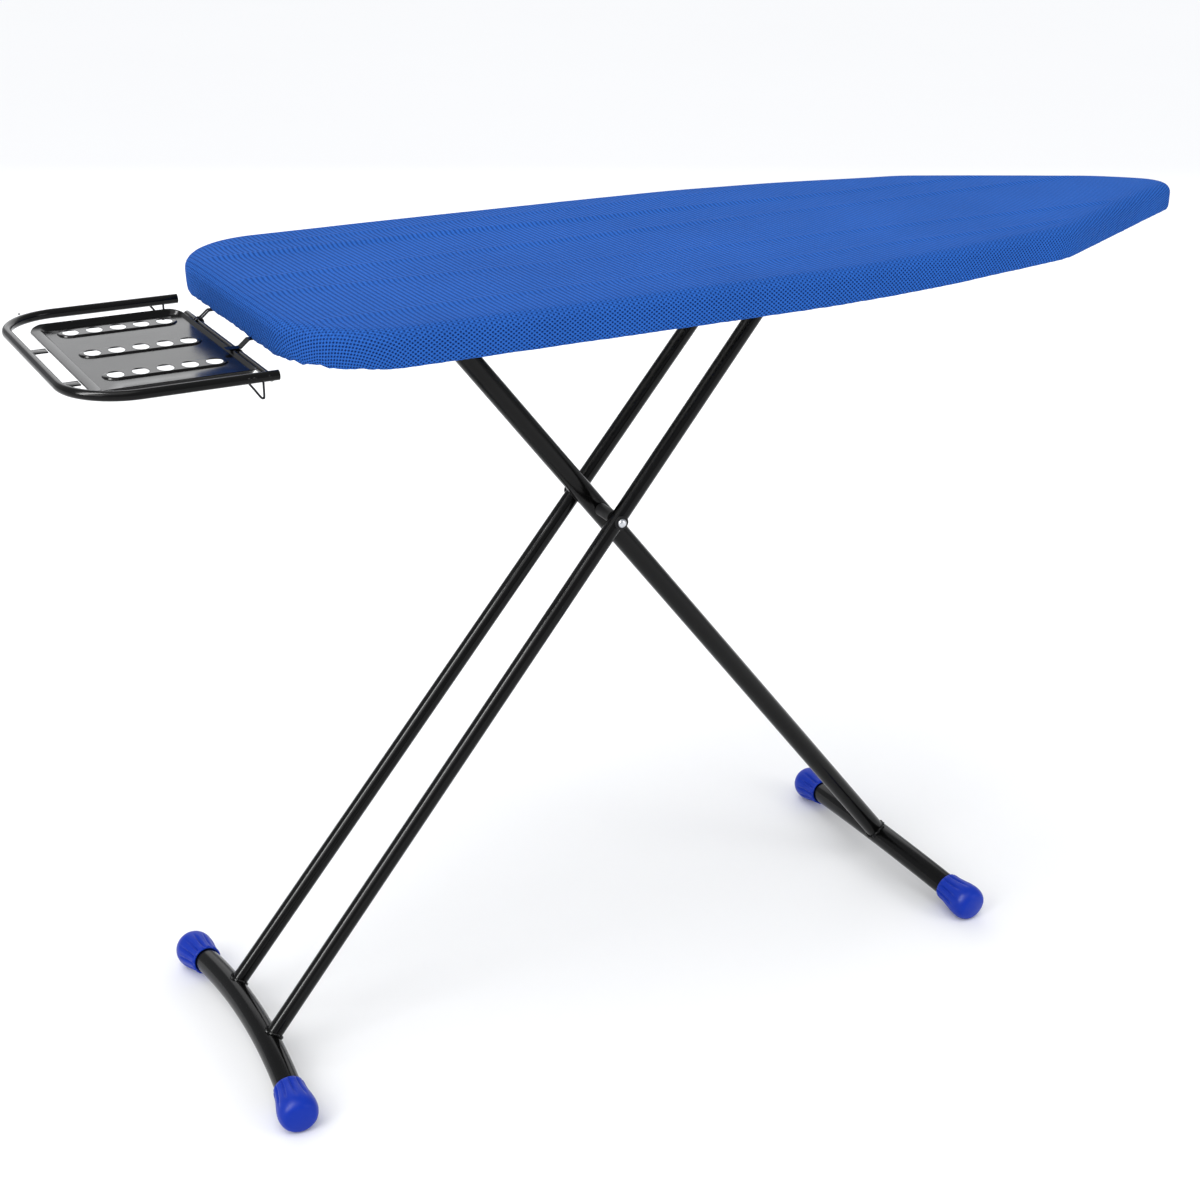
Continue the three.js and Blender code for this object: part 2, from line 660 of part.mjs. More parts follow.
function trayOutline(inset, Type = THREE.Shape) {
  const x0 = TRAY_FRONT_X + inset;
  const x1 = TRAY_REAR_X - inset;
  const y0 = TRAY_NEAR_Y + inset;
  const y1 = TRAY_FAR_Y - inset;
  const radius = TRAY_CORNER - inset;
  const shape = new Type();
  shape.moveTo(x0 + radius, y0);
  shape.absarc(x1 - radius, y0 + radius, radius, -Math.PI / 2, 0);
  shape.absarc(x1 - radius, y1 - radius, radius, 0, Math.PI / 2);
  shape.absarc(x0 + radius, y1 - radius, radius, Math.PI / 2, Math.PI);
  shape.absarc(x0 + radius, y0 + radius, radius, Math.PI, 1.5 * Math.PI);
  return shape;
}

const trayFloorShape = trayOutline(0);
for (let row = -1; row <= 1; row++) {
  for (let i = -2; i <= 2; i++) {
    trayFloorShape.holes.push(new THREE.Path().absarc(
      TRAY_HOLES_X + i * TRAY_HOLE_PITCH, row * TRAY_ROW_PITCH, TRAY_HOLE_RADIUS, 0, 2 * Math.PI, true));
  }
}
const trayWallShape = trayOutline(0);
trayWallShape.holes.push(trayOutline(TRAY_SHEET, THREE.Path));
add(ironRest, 'rest_tray', cut(
  join(plate(trayFloorShape, trayUnder, TRAY_FLOOR_Z, 4), plate(trayWallShape, trayUnder, trayRim, 4)),
  box(TRAY_REAR_X - TRAY_CORNER, TRAY_REAR_X + 1, TRAY_NEAR_Y - 1, TRAY_FAR_Y + 1, TRAY_FLOOR_Z, trayRim + 1),
), blackPaint);

// Hinge bar along the tray's board end, welded to the near rail.
const hingeBarNear = GAP + REST_TUBE / 2 - REST_HALF;
add(ironRest, 'rest_hinge_bar',
  barY(HINGE_BAR.x, HINGE_BAR.z, HINGE_BAR.radius, hingeBarNear, TRAY_FAR_Y - 4, 12), blackPaint);

// Tabs welded from the tray's front wall to the frame.
const TAB_HALF = 7;
function restTab(y) {
  const x0 = restFrontX + REST_TUBE / 2 + GAP;
  return box(x0, TRAY_FRONT_X - GAP, y - TAB_HALF, y + TAB_HALF, REST_Z - 3, REST_Z - 1.5);
}

add(ironRest, 'rest_tab_near', restTab(-92), blackPaint);
add(ironRest, 'rest_tab_far', restTab(30), blackPaint);

// Wire loops that hang in a V under the rails' open ends.
const LOOP_RADIUS = 1.2;
function wireLoop(side) {
  const y = side * REST_HALF;
  const top = REST_Z - REST_TUBE / 2 - GAP - LOOP_RADIUS;
  const start = REST_OPEN_X - 31;
  const end = REST_OPEN_X - 16;
  const path = new THREE.CatmullRomCurve3([
    vec(start, y, top),
    vec(start + 6, y, top - 5),
    vec(end - 3, y, top - 14),
    vec(end, y, top - 14),
    vec(end, y, top - 7),
    vec(end, y, top),
  ]);
  return tube(path, LOOP_RADIUS, 0, 14, 6);
}

add(ironRest, 'rest_wire_near', wireLoop(-1), springSteel);
add(ironRest, 'rest_wire_far', wireLoop(1), springSteel);

// Knuckles on the board that the hinge bar turns in: a bent tab and a wire loop. Each is an eye
// round the bar with an arm that rises to the cover, runs under its hem and ends below the deck's edge.
function knuckle(y0, y1) {
  const thickness = 1.2;
  const eye = HINGE_BAR.radius + GAP;
  const underHem = coverBottom - GAP;
  const rise = TAIL_X + 3;
  const end = TAIL_X + HEM_WIDTH + 4;
  const arm = new THREE.Shape();
  arm.moveTo(HINGE_BAR.x, HINGE_BAR.z);
  arm.lineTo(HINGE_BAR.x + eye, HINGE_BAR.z);
  arm.lineTo(rise, underHem - thickness);
  arm.lineTo(end, underHem - thickness);
  arm.lineTo(end, skirtBottom - GAP);
  arm.lineTo(end - thickness, skirtBottom - GAP);
  arm.lineTo(end - thickness, underHem);
  arm.lineTo(rise - thickness, underHem);
  arm.lineTo(HINGE_BAR.x, HINGE_BAR.z + eye);
  return cut(
    join(barY(HINGE_BAR.x, HINGE_BAR.z, eye + thickness, y0, y1, 12), sidePlate(arm, y0, y1)),
    barY(HINGE_BAR.x, HINGE_BAR.z, eye, y0 - 1, y1 + 1, 12),
  );
}

add(board, 'rest_knuckle_near', knuckle(-60, -50), blackPaint);
add(board, 'rest_knuckle_far', knuckle(66, 74), springSteel);

export default group;
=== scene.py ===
"""The looks of a folding ironing board: cover, legs, feet, latch and iron rest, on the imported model."""

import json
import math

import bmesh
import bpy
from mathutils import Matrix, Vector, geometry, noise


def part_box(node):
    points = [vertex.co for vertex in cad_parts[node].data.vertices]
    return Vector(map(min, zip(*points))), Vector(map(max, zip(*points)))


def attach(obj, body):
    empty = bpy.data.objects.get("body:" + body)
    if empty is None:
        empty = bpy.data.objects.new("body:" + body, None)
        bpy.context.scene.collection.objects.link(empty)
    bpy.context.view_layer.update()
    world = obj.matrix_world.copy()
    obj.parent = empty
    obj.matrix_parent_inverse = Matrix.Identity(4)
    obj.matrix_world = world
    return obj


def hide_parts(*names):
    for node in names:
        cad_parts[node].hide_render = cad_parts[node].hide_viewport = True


bl_info = {
    "name": "Folding ironing board",
    "version": (1, 0, 0),
    "blender": (4, 5, 0),
    "location": "3D View > Sidebar > Ironing board",
    "description": "Builds the cover, pad, steel mesh deck, legs, feet, latch and iron rest",
    "category": "Object",
}

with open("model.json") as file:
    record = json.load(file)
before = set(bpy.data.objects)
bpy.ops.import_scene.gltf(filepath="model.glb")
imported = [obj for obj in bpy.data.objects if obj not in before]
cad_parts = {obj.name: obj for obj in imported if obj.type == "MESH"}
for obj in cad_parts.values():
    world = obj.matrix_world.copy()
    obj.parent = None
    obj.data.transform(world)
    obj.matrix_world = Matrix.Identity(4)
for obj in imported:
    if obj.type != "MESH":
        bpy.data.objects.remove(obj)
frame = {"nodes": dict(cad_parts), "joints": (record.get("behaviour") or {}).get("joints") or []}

MM = 0.001
X_AXIS, Y_AXIS, Z_AXIS = Vector((1, 0, 0)), Vector((0, 1, 0)), Vector((0, 0, 1))


def joint_at(name):
    """Where a joint's axis passes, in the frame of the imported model."""
    return Vector(next(j["pos_m"] for j in frame["joints"] if j["name"] == name))


COVER_LOW, COVER_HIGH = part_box("cover")
HINGE, PIVOT = joint_at("leg_fold"), joint_at("leg_cross")
SLIDE, LATCH, REST_HINGE = joint_at("carriage_level"), joint_at("latch_squeeze"), joint_at("rest_tip")


def linear(hex_colour):
    """An sRGB hex colour as the linear RGBA that shader sockets take."""
    channels = [int(hex_colour[i:i + 2], 16) / 255 for i in (0, 2, 4)]
    return (*(c / 12.92 if c <= 0.04045 else ((c + 0.055) / 1.055) ** 2.4 for c in channels), 1.0)


# ---------------------------------------------------------------- settings

def length(label, text, default):
    """A size in metres that a user may change."""
    return bpy.props.FloatProperty(
        name=label, description=text, default=default, min=0, subtype="DISTANCE", unit="LENGTH",
        precision=4)


def colour(label, text, hex_colour):
    """A colour that a user may change."""
    return bpy.props.FloatVectorProperty(
        name=label, description=text, default=linear(hex_colour), size=4, min=0, max=1, subtype="COLOR")


class CoverSettings(bpy.types.PropertyGroup):
    tail_rounding: length("Tail rounding", "Corner radius of the square end", 108 * MM)
    taper_at: length("Taper at", "Where the sides turn inwards, along the board", 135 * MM)
    taper_rounding: length("Taper rounding", "Radius of that turn", 1500 * MM)
    swell_at: length("Swell at", "Where the sides turn in to the nose, along the board", 430 * MM)
    swell_half: length("Swell half width", "Half width of the board at that turn", 172 * MM)
    swell_rounding: length("Swell rounding", "Radius of that turn", 150 * MM)
    nose_half: length("Nose half width", "Half width of the nose's flat end", 18.5 * MM)
    nose_rounding: length("Nose rounding", "Corner radius of the nose", 30 * MM)
    nose_drop: length("Nose drop", "How far the padding thins down at the nose", 5 * MM)
    shoulder: length("Shoulder", "Rounding from the top into the side band", 13 * MM)
    hem: length("Hem", "How far the cover is turned under the deck", 22 * MM)
    cell_along: length("Cell along", "Pitch of the knitted cells along the board", 5.6 * MM)
    cell_across: length("Cell across", "Pitch of the knitted cells across the board", 4.4 * MM)
    crease: length("Crease", "Height of the packing creases", 3.6 * MM)
    gather: length("Gather", "Depth of the gathers over the elastic", 3.4 * MM)
    gather_pitch: length("Gather pitch", "Distance from gather to gather", 14 * MM)


class DeckSettings(bpy.types.PropertyGroup):
    opening_along: length("Opening along", "Long diagonal of a diamond in the steel mesh", 28 * MM)
    opening_across: length("Opening across", "Short diagonal of a diamond in the steel mesh", 13 * MM)
    strand: length("Strand", "Width of a strand of the steel mesh", 1.6 * MM)
    sheet: length("Sheet", "Thickness of pressed steel sheet", 1.5 * MM)


class LegSettings(bpy.types.PropertyGroup):
    outer_tube: length("Outer leg tube", "Diameter of the two outer leg tubes", 19 * MM)
    inner_tube: length("Inner leg tube", "Diameter of the inner leg tube", 25 * MM)
    foot_tube: length("Foot tube", "Diameter of the foot tubes", 30 * MM)
    foot_half: length("Foot half", "Middle of the foot to the rim of its cap", 143 * MM)
    foot_arch: length("Foot arch", "Rise of the foot tube in the middle", 11 * MM)
    bead: length("Weld bead", "Thickness of the weld beads", 4.4 * MM)
    cap_radius: length("Cap radius", "Widest radius of a foot cap", 23 * MM)
    cap_length: length("Cap length", "Length of a foot cap", 54 * MM)
    flute: length("Flute", "Depth of the flutes round a foot cap", 2.1 * MM)


class RestSettings(bpy.types.PropertyGroup):
    tube: length("Rest tube", "Diameter of the iron rest's tube", 10 * MM)
    corner: length("Rest corner", "Size of the rest's rounded corners", 62 * MM)
    hole: length("Hole", "Half length of the oval holes, along a row", 8.2 * MM)
    hole_across: length("Hole across", "Half width of the oval holes, across a row", 11 * MM)
    hole_pitch: length("Hole pitch", "Distance from hole to hole in a row", 24.5 * MM)
    row_pitch: length("Row pitch", "Distance from row to row", 82 * MM)
    rib: length("Rib", "Half width of the raised rib round each row of holes", 13.4 * MM)
    rib_rise: length("Rib rise", "How far the ribs stand up from the tray", 1.6 * MM)


class FinishSettings(bpy.types.PropertyGroup):
    yarn: colour("Yarn", "Knitted polyester, on its raised strands", "2c63bb")
    # Painted shade: the yarn colour darkened for the shade down in the knit's open cells.
    yarn_shade: colour("Yarn shade", "Knitted polyester, down in its cells", "051f5a")
    foam: colour("Foam", "Pad", "d9d8d0")
    elastic: colour("Elastic", "Bound edge of the cover", "1d3f8f")
    deck: colour("Deck paint", "Powder coat on the deck and its braces", "8f9498")
    paint: colour("Leg paint", "Powder coat on legs and iron rest", "070707")
    plastic: colour("Foot plastic", "Polypropylene of the foot caps", "0d31a4")
    nylon: colour("Nylon", "Spacers, shoes and grip", "0e0e0f")
    floor: colour("Floor", "Plain floor", "fafafa")


class BoardSettings(bpy.types.PropertyGroup):
    cover: bpy.props.PointerProperty(type=CoverSettings)
    deck: bpy.props.PointerProperty(type=DeckSettings)
    legs: bpy.props.PointerProperty(type=LegSettings)
    rest: bpy.props.PointerProperty(type=RestSettings)
    finish: bpy.props.PointerProperty(type=FinishSettings)


def settings():
    """The sizes and colours of this scene."""
    return bpy.context.scene.ironing_board


# ---------------------------------------------------------------- materials

def add_node(tree, kind, inputs=None, **properties):
    """Adds a node, sets its properties, and gives its inputs their values or links."""
    node = tree.nodes.new(kind)
    for name, value in properties.items():
        setattr(node, name, value)
    for socket, value in (inputs or {}).items():
        if isinstance(value, bpy.types.NodeSocket):
            tree.links.new(value, node.inputs[socket])
        else:
            node.inputs[socket].default_value = value
    return node


def new_material(name, surface):
    """A material with the values of its Principled shader, and its node tree and shader."""
    material = bpy.data.materials.new(name)
    material.use_nodes = True
    shader = material.node_tree.nodes["Principled BSDF"]
    for socket, value in surface.items():
        shader.inputs[socket].default_value = value
    return material, material.node_tree, shader


def shaded(rgba, factor):
    """A colour made darker or lighter."""
    return (*(channel * factor for channel in rgba[:3]), 1.0)


def mottle(tree, shader, rgba, patch, spread, roughness, wear):
    """Uneven colour in patches of a real size, and roughness that follows it."""
    place = add_node(tree, "ShaderNodeTexCoord")
    cloud = add_node(tree, "ShaderNodeTexNoise", {
        "Vector": place.outputs["Object"], "Scale": 1 / patch, "Detail": 4.0, "Roughness": 0.6})
    tone = add_node(tree, "ShaderNodeMix", {
        "Factor": cloud.outputs["Fac"], "A": shaded(rgba, 1 - spread), "B": shaded(rgba, 1 + spread)},
        data_type="RGBA")
    tree.links.new(tone.outputs[2], shader.inputs["Base Color"])
    gloss = add_node(tree, "ShaderNodeMapRange", {
        "Value": cloud.outputs["Fac"], "From Min": 0.3, "From Max": 0.7,
        "To Min": roughness, "To Max": roughness + wear})
    tree.links.new(gloss.outputs["Result"], shader.inputs["Roughness"])
    return place, cloud


def relief(tree, shader, height, depth, strength=1.0):
    """Bump of a real depth."""
    bump = add_node(tree, "ShaderNodeBump", {"Height": height, "Distance": depth, "Strength": strength})
    tree.links.new(bump.outputs["Normal"], shader.inputs["Normal"])


def air_mesh_knit():
    """Warp-knitted polyester spacer mesh: staggered open cells between bright diagonal strands, closed up
    into fine courses where it lies slack, matt with a pale bloom where it turns away. The dark colour in
    the cells and between the courses is painted shade in the openings, mixed with the yarn seen deeper in
    the knit, and darkest where the cloth is pulled most open. The cells are drawn a little coarser than
    the real knit's, so that they show."""
    cover, colours = settings().cover, settings().finish
    material, tree, shader = new_material("air_mesh_knit", {
        "Roughness": 0.85, "Specular IOR Level": 0.04,
        "Sheen Weight": 0.02, "Sheen Roughness": 0.5, "Sheen Tint": linear("4f86f0")})
    cloth = add_node(tree, "ShaderNodeUVMap", uv_map="cloth")
    along, across = 2 * math.pi / cover.cell_along, 2 * math.pi / cover.cell_across
    cells = add_node(tree, "ShaderNodeMapping", {
        "Vector": cloth.outputs["UV"], "Scale": (along, across, 1)})
    axes = add_node(tree, "ShaderNodeSeparateXYZ", {"Vector": cells.outputs["Vector"]})
    wave_x = add_node(tree, "ShaderNodeMath", {0: axes.outputs["X"]}, operation="COSINE")
    wave_y = add_node(tree, "ShaderNodeMath", {0: axes.outputs["Y"]}, operation="COSINE")
    lattice = add_node(tree, "ShaderNodeMath", {0: wave_x.outputs[0], 1: wave_y.outputs[0]},
                       operation="MULTIPLY")
    openings = add_node(tree, "ShaderNodeMapRange", {
        "Value": lattice.outputs[0], "From Min": -0.1, "From Max": 0.85}, interpolation_type="SMOOTHSTEP")
    courses = add_node(tree, "ShaderNodeMapRange", {
        "Value": wave_x.outputs[0], "From Min": -0.2, "From Max": 1.0}, interpolation_type="SMOOTHSTEP")
    pulled = add_node(tree, "ShaderNodeAttribute", attribute_name="pulled")
    shade = add_node(tree, "ShaderNodeMix", {
        "Factor": pulled.outputs["Fac"], "A": courses.outputs["Result"], "B": openings.outputs["Result"]})
    # Painted shade: how far the open cells are darkened, deeper where the cloth is pulled open.
    painted_shade_depth = add_node(tree, "ShaderNodeMapRange", {
        "Value": pulled.outputs["Fac"], "To Min": -0.55, "To Max": -1.0})
    strands = add_node(tree, "ShaderNodeMath", {
        0: shade.outputs[0], 1: painted_shade_depth.outputs["Result"], 2: 1.0}, operation="MULTIPLY_ADD")
    fibre = add_node(tree, "ShaderNodeTexNoise", {
        "Vector": cloth.outputs["UV"], "Scale": 1 / (2.2 * MM), "Detail": 3.0, "Roughness": 0.7})
    patch = add_node(tree, "ShaderNodeTexNoise", {
        "Vector": cloth.outputs["UV"], "Scale": 1 / (160 * MM), "Detail": 2.0})
    fibre_tone = add_node(tree, "ShaderNodeMapRange", {
        "Value": fibre.outputs["Fac"], "From Min": 0.25, "From Max": 0.75, "To Min": 0.78, "To Max": 1.2})
    patch_tone = add_node(tree, "ShaderNodeMapRange", {
        "Value": patch.outputs["Fac"], "From Min": 0.3, "From Max": 0.7, "To Min": 0.95, "To Max": 1.05})
    # Mixes the yarn colour with its painted shade in the cells.
    knit = add_node(tree, "ShaderNodeMix", {
        "Factor": strands.outputs[0], "A": tuple(colours.yarn_shade), "B": tuple(colours.yarn)},
        data_type="RGBA")
    tone = add_node(tree, "ShaderNodeMath", {
        0: fibre_tone.outputs["Result"], 1: patch_tone.outputs["Result"]}, operation="MULTIPLY")
    toned = add_node(tree, "ShaderNodeVectorMath", {0: knit.outputs[2], "Scale": tone.outputs[0]},
                     operation="SCALE")
    tree.links.new(toned.outputs["Vector"], shader.inputs["Base Color"])
    fuzz = add_node(tree, "ShaderNodeMath", {0: fibre.outputs["Fac"], 1: 0.35, 2: strands.outputs[0]},
                    operation="MULTIPLY_ADD")
    relief(tree, shader, fuzz.outputs[0], 1.3 * MM, 0.8)
    return material


def open_cell_foam():
    """Polyurethane foam: off white, dull, with pores about a millimetre wide."""
    material, tree, shader = new_material("open_cell_foam", {
        "Specular IOR Level": 0.1, "Sheen Weight": 0.1})
    place, _ = mottle(tree, shader, settings().finish.foam, 60 * MM, 0.06, 0.9, 0.05)
    pores = add_node(tree, "ShaderNodeTexVoronoi", {
        "Vector": place.outputs["Object"], "Scale": 1 / (1.4 * MM)})
    relief(tree, shader, pores.outputs["Distance"], 0.5 * MM, 0.7)
    return material


def woven_elastic():
    """Covered elastic in a turned hem: dull dark blue with close ribs across it."""
    material, tree, shader = new_material("woven_elastic", {
        "Specular IOR Level": 0.2, "Sheen Weight": 0.25})
    mottle(tree, shader, settings().finish.elastic, 25 * MM, 0.15, 0.8, 0.1)
    place = add_node(tree, "ShaderNodeTexCoord")
    ribs = add_node(tree, "ShaderNodeTexWave", {
        "Vector": place.outputs["Object"], "Scale": 1 / (20 * 1.6 * MM), "Distortion": 1.5,
        "Detail": 1.0}, bands_direction="DIAGONAL")
    relief(tree, shader, ribs.outputs["Fac"], 0.4 * MM, 0.6)
    return material


def deck_powder_coat():
    """Powder coat on mesh and pressings: an even satin grey, slightly uneven where it pooled."""
    material, tree, shader = new_material("deck_powder_coat", {"IOR": 1.5})
    _, cloud = mottle(tree, shader, settings().finish.deck, 45 * MM, 0.05, 0.42, 0.1)
    relief(tree, shader, cloud.outputs["Fac"], 0.15 * MM, 0.25)
    return material


def gloss_powder_coat():
    """Gloss powder coat on steel tube: deep black, sharp highlights broken by a faint orange peel."""
    material, tree, shader = new_material("gloss_powder_coat", {"IOR": 1.45, "Specular IOR Level": 0.2})
    place, _ = mottle(tree, shader, settings().finish.paint, 70 * MM, 0.25, 0.14, 0.06)
    peel = add_node(tree, "ShaderNodeTexNoise", {
        "Vector": place.outputs["Object"], "Scale": 1 / (2.4 * MM), "Detail": 1.0})
    relief(tree, shader, peel.outputs["Fac"], 0.06 * MM, 0.35)
    return material


def tray_enamel():
    """The same black on flat sheet: mirrors the room at a low angle, with fine rubbing marks."""
    material, tree, shader = new_material("tray_enamel", {"IOR": 1.5, "Specular IOR Level": 0.17})
    place, _ = mottle(tree, shader, settings().finish.paint, 50 * MM, 0.3, 0.12, 0.08)
    stretched = add_node(tree, "ShaderNodeMapping", {
        "Vector": place.outputs["Object"], "Scale": (1 / (30 * MM), 1 / (0.8 * MM), 1 / (0.8 * MM))})
    rubs = add_node(tree, "ShaderNodeTexNoise", {"Vector": stretched.outputs["Vector"], "Scale": 1.0})
    relief(tree, shader, rubs.outputs["Fac"], 0.02 * MM, 0.2)
    return material


def bright_zinc():
    """Bright electroplated zinc: pale cool metal with soft clouds of brighter and duller plate."""
    material, tree, shader = new_material("bright_zinc", {"Metallic": 1.0})
    _, cloud = mottle(tree, shader, linear("c9cbcf"), 9 * MM, 0.12, 0.24, 0.16)
    relief(tree, shader, cloud.outputs["Fac"], 0.05 * MM, 0.3)
    return material


def drawn_spring_steel():
    """Oil-blackened drawn wire: dark metal with fine marks along it."""
    material, tree, shader = new_material("drawn_spring_steel", {"Metallic": 1.0})
    _, cloud = mottle(tree, shader, linear("2b2b2e"), 3 * MM, 0.3, 0.3, 0.15)
    relief(tree, shader, cloud.outputs["Fac"], 0.03 * MM, 0.3)
    return material


def moulded_polypropylene():
    """Injection-moulded polypropylene: saturated blue, waxy gloss, a little light carried inside."""
    material, tree, shader = new_material("moulded_polypropylene", {
        "IOR": 1.49, "Specular IOR Level": 0.14, "Subsurface Weight": 0.12, "Subsurface Scale": 2 * MM,
        "Subsurface Radius": (0.3, 0.4, 1.0)})
    place, _ = mottle(tree, shader, settings().finish.plastic, 20 * MM, 0.06, 0.3, 0.1)
    grain = add_node(tree, "ShaderNodeTexNoise", {
        "Vector": place.outputs["Object"], "Scale": 1 / (1.5 * MM), "Detail": 2.0})
    relief(tree, shader, grain.outputs["Fac"], 0.05 * MM, 0.3)
    return material


def moulded_nylon():
    """Moulded black nylon: matt, slightly grey, fine spark-eroded grain."""
    material, tree, shader = new_material("moulded_nylon", {"IOR": 1.53, "Specular IOR Level": 0.2})
    place, _ = mottle(tree, shader, settings().finish.nylon, 15 * MM, 0.1, 0.45, 0.12)
    grain = add_node(tree, "ShaderNodeTexNoise", {
        "Vector": place.outputs["Object"], "Scale": 1 / (0.7 * MM), "Detail": 2.0})
    relief(tree, shader, grain.outputs["Fac"], 0.05 * MM, 0.5)
    return material


# The finish of each of the record's material slots.
FINISH_OF_SLOT = {
    "cover_mesh": air_mesh_knit,
    "pad_foam": open_cell_foam,
    "elastic": woven_elastic,
    "deck_paint": deck_powder_coat,
    "black_paint": gloss_powder_coat,
    "zinc_plate": bright_zinc,
    "spring_steel": drawn_spring_steel,
    "blue_plastic": moulded_polypropylene,
    "nylon": moulded_nylon,
}


def finish(maker):
    """A finish, made when it is first asked for."""
    return bpy.data.materials.get(maker.__name__) or maker()


# ---------------------------------------------------------------- mesh helpers

def new_verts(made):
    """The vertices among what an operator made."""
    return [item for item in made["geom"] if isinstance(item, bmesh.types.BMVert)]


def edges_at(verts):
    """The edges at some vertices, each once and always in the same order."""
    return list(dict.fromkeys(edge for vert in verts for edge in vert.link_edges))


def extrude_loop(bm, edges):
    """Extrudes a run of edges and returns the new edges and vertices, which still lie on the old ones."""
    made = bmesh.ops.extrude_edge_only(bm, edges=edges)
    verts = new_verts(made)
    moved = set(verts)
    fresh = [item for item in made["geom"]
             if isinstance(item, bmesh.types.BMEdge) and moved.issuperset(item.verts)]
    return fresh, verts


def path_frames(points):
    """A frame at each point of a path, its Z along the path, with no twist from one to the next."""
    frames, side, before = [], None, None
    for i, point in enumerate(points):
        ahead = (points[min(i + 1, len(points) - 1)] - points[max(i - 1, 0)]).normalized()
        if side is None:
            side = ahead.orthogonal().normalized()
        else:
            side = before.rotation_difference(ahead) @ side
        turn = Matrix((side, ahead.cross(side), ahead)).transposed().to_4x4()
        frames.append(Matrix.Translation(point) @ turn)
        before = ahead
    return frames


def end_tube(bm, edges, place, radius, wall, inwards):
    """Closes a tube's end: flat, or with its wall and a dark bore showing."""
    if wall:
        edges, verts = extrude_loop(bm, edges)
        inner = (radius - wall) / radius
        bmesh.ops.scale(bm, vec=(inner, inner, 1), space=place.inverted(), verts=verts)
        edges, verts = extrude_loop(bm, edges)
        bmesh.ops.translate(bm, vec=inwards * radius * 2, verts=verts)
    bmesh.ops.edgeloop_fill(bm, edges=edges)


def sweep(points, radius, sides=24, wall=0.0):
    """A round tube or rod along a path."""
    bm = bmesh.new()
    frames = path_frames(points)
    ring = bmesh.ops.create_circle(bm, segments=sides, radius=radius, matrix=frames[0])["verts"]
    first = edges = edges_at(ring)
    for before, after in zip(frames, frames[1:]):
        edges, verts = extrude_loop(bm, edges)
        bmesh.ops.transform(bm, matrix=after @ before.inverted(), verts=verts)
    end_tube(bm, first, frames[0], radius, wall, (points[1] - points[0]).normalized())
    end_tube(bm, edges, frames[-1], radius, wall, (points[-2] - points[-1]).normalized())
    bmesh.ops.recalc_face_normals(bm, faces=bm.faces)
    return bm


def through(points, steps=6):
    """A smooth line through a few points."""
    line = []
    for i in range(len(points) - 1):
        a, b = points[max(i - 1, 0)], points[i]
        c, d = points[i + 1], points[min(i + 2, len(points) - 1)]
        for step in range(steps):
            t = step / steps
            line.append(0.5 * (2 * b + (c - a) * t + (2 * a - 5 * b + 4 * c - d) * t * t
                               + (3 * b - a - 3 * c + d) * t ** 3))
    return [*line, points[-1]]


def lathe(profile, place, steps=48):
    """Turns a profile of radius and height round Z, and puts it in place."""
    bm = bmesh.new()
    verts = [bm.verts.new((radius, 0, height)) for radius, height in profile]
    edges = [bm.edges.new(pair) for pair in zip(verts, verts[1:])]
    bmesh.ops.spin(bm, geom=verts + edges, cent=(0, 0, 0), axis=Z_AXIS, angle=2 * math.pi,
                   steps=steps, use_merge=True)
    bmesh.ops.remove_doubles(bm, verts=bm.verts, dist=1e-6)
    bmesh.ops.recalc_face_normals(bm, faces=bm.faces)
    bm.transform(place)
    return bm


def closed_line(bm, points):
    """A closed run of edges through points."""
    verts = [bm.verts.new(point) for point in points]
    return [bm.edges.new(pair) for pair in zip(verts, verts[1:] + verts[:1])]


def next_ring(bm, edges, ring, points):
    """Extrudes a ring and moves it to its points, in the order of the ring before it."""
    edges, verts = extrude_loop(bm, edges)
    fresh = set(verts)
    ring = [next(edge.other_vert(vert) for edge in reversed(vert.link_edges)
                 if edge.other_vert(vert) in fresh) for vert in ring]
    for vert, point in zip(ring, points):
        vert.co = point
    return edges, ring


def loft(bm, rings, closed_section=False):
    """Adds a surface through rings of points and returns its rings of vertices."""
    edges = closed_line(bm, rings[0])
    first, ring = edges, [edge.verts[0] for edge in edges]
    made = [ring]
    for points in rings[1:]:
        edges, ring = next_ring(bm, edges, ring, points)
        made.append(ring)
    if closed_section:
        bmesh.ops.bridge_loops(bm, edges=first + edges)
    return made


def facing(point, direction):
    """A place at a point with Z turned towards a direction."""
    return Matrix.Translation(point) @ direction.to_track_quat("Z", "Y").to_matrix().to_4x4()


def ring_profile(inner, outer, low, high, round_off=0.4 * MM):
    """The closed section of a collar, washer or bush, with softened rims."""
    return [(inner, low), (outer - round_off, low), (outer, low + round_off), (outer, high - round_off),
            (outer - round_off, high), (inner, high), (inner, low)]


def block(low, high, bevel, segments=2):
    """A box with rounded edges."""
    bm = bmesh.new()
    centre, size = (low + high) / 2, high - low
    bmesh.ops.create_cube(bm, size=1, matrix=Matrix.Translation(centre) @ Matrix.Diagonal((*size, 1)))
    bmesh.ops.bevel(bm, geom=bm.edges, offset=bevel, segments=segments, affect="EDGES", profile=0.5,
                    material=-1)
    return bm


def ribbon(points, across, thickness):
    """A strip of sheet: a line of points, drawn out along a vector and given its thickness."""
    bm = bmesh.new()
    verts = [bm.verts.new(point) for point in points]
    edges = [bm.edges.new(pair) for pair in zip(verts, verts[1:])]
    _, moved = extrude_loop(bm, edges)
    bmesh.ops.translate(bm, vec=across, verts=moved)
    bmesh.ops.recalc_face_normals(bm, faces=bm.faces)
    bmesh.ops.solidify(bm, geom=bm.faces, thickness=thickness)
    bmesh.ops.recalc_face_normals(bm, faces=bm.faces)
    return bm


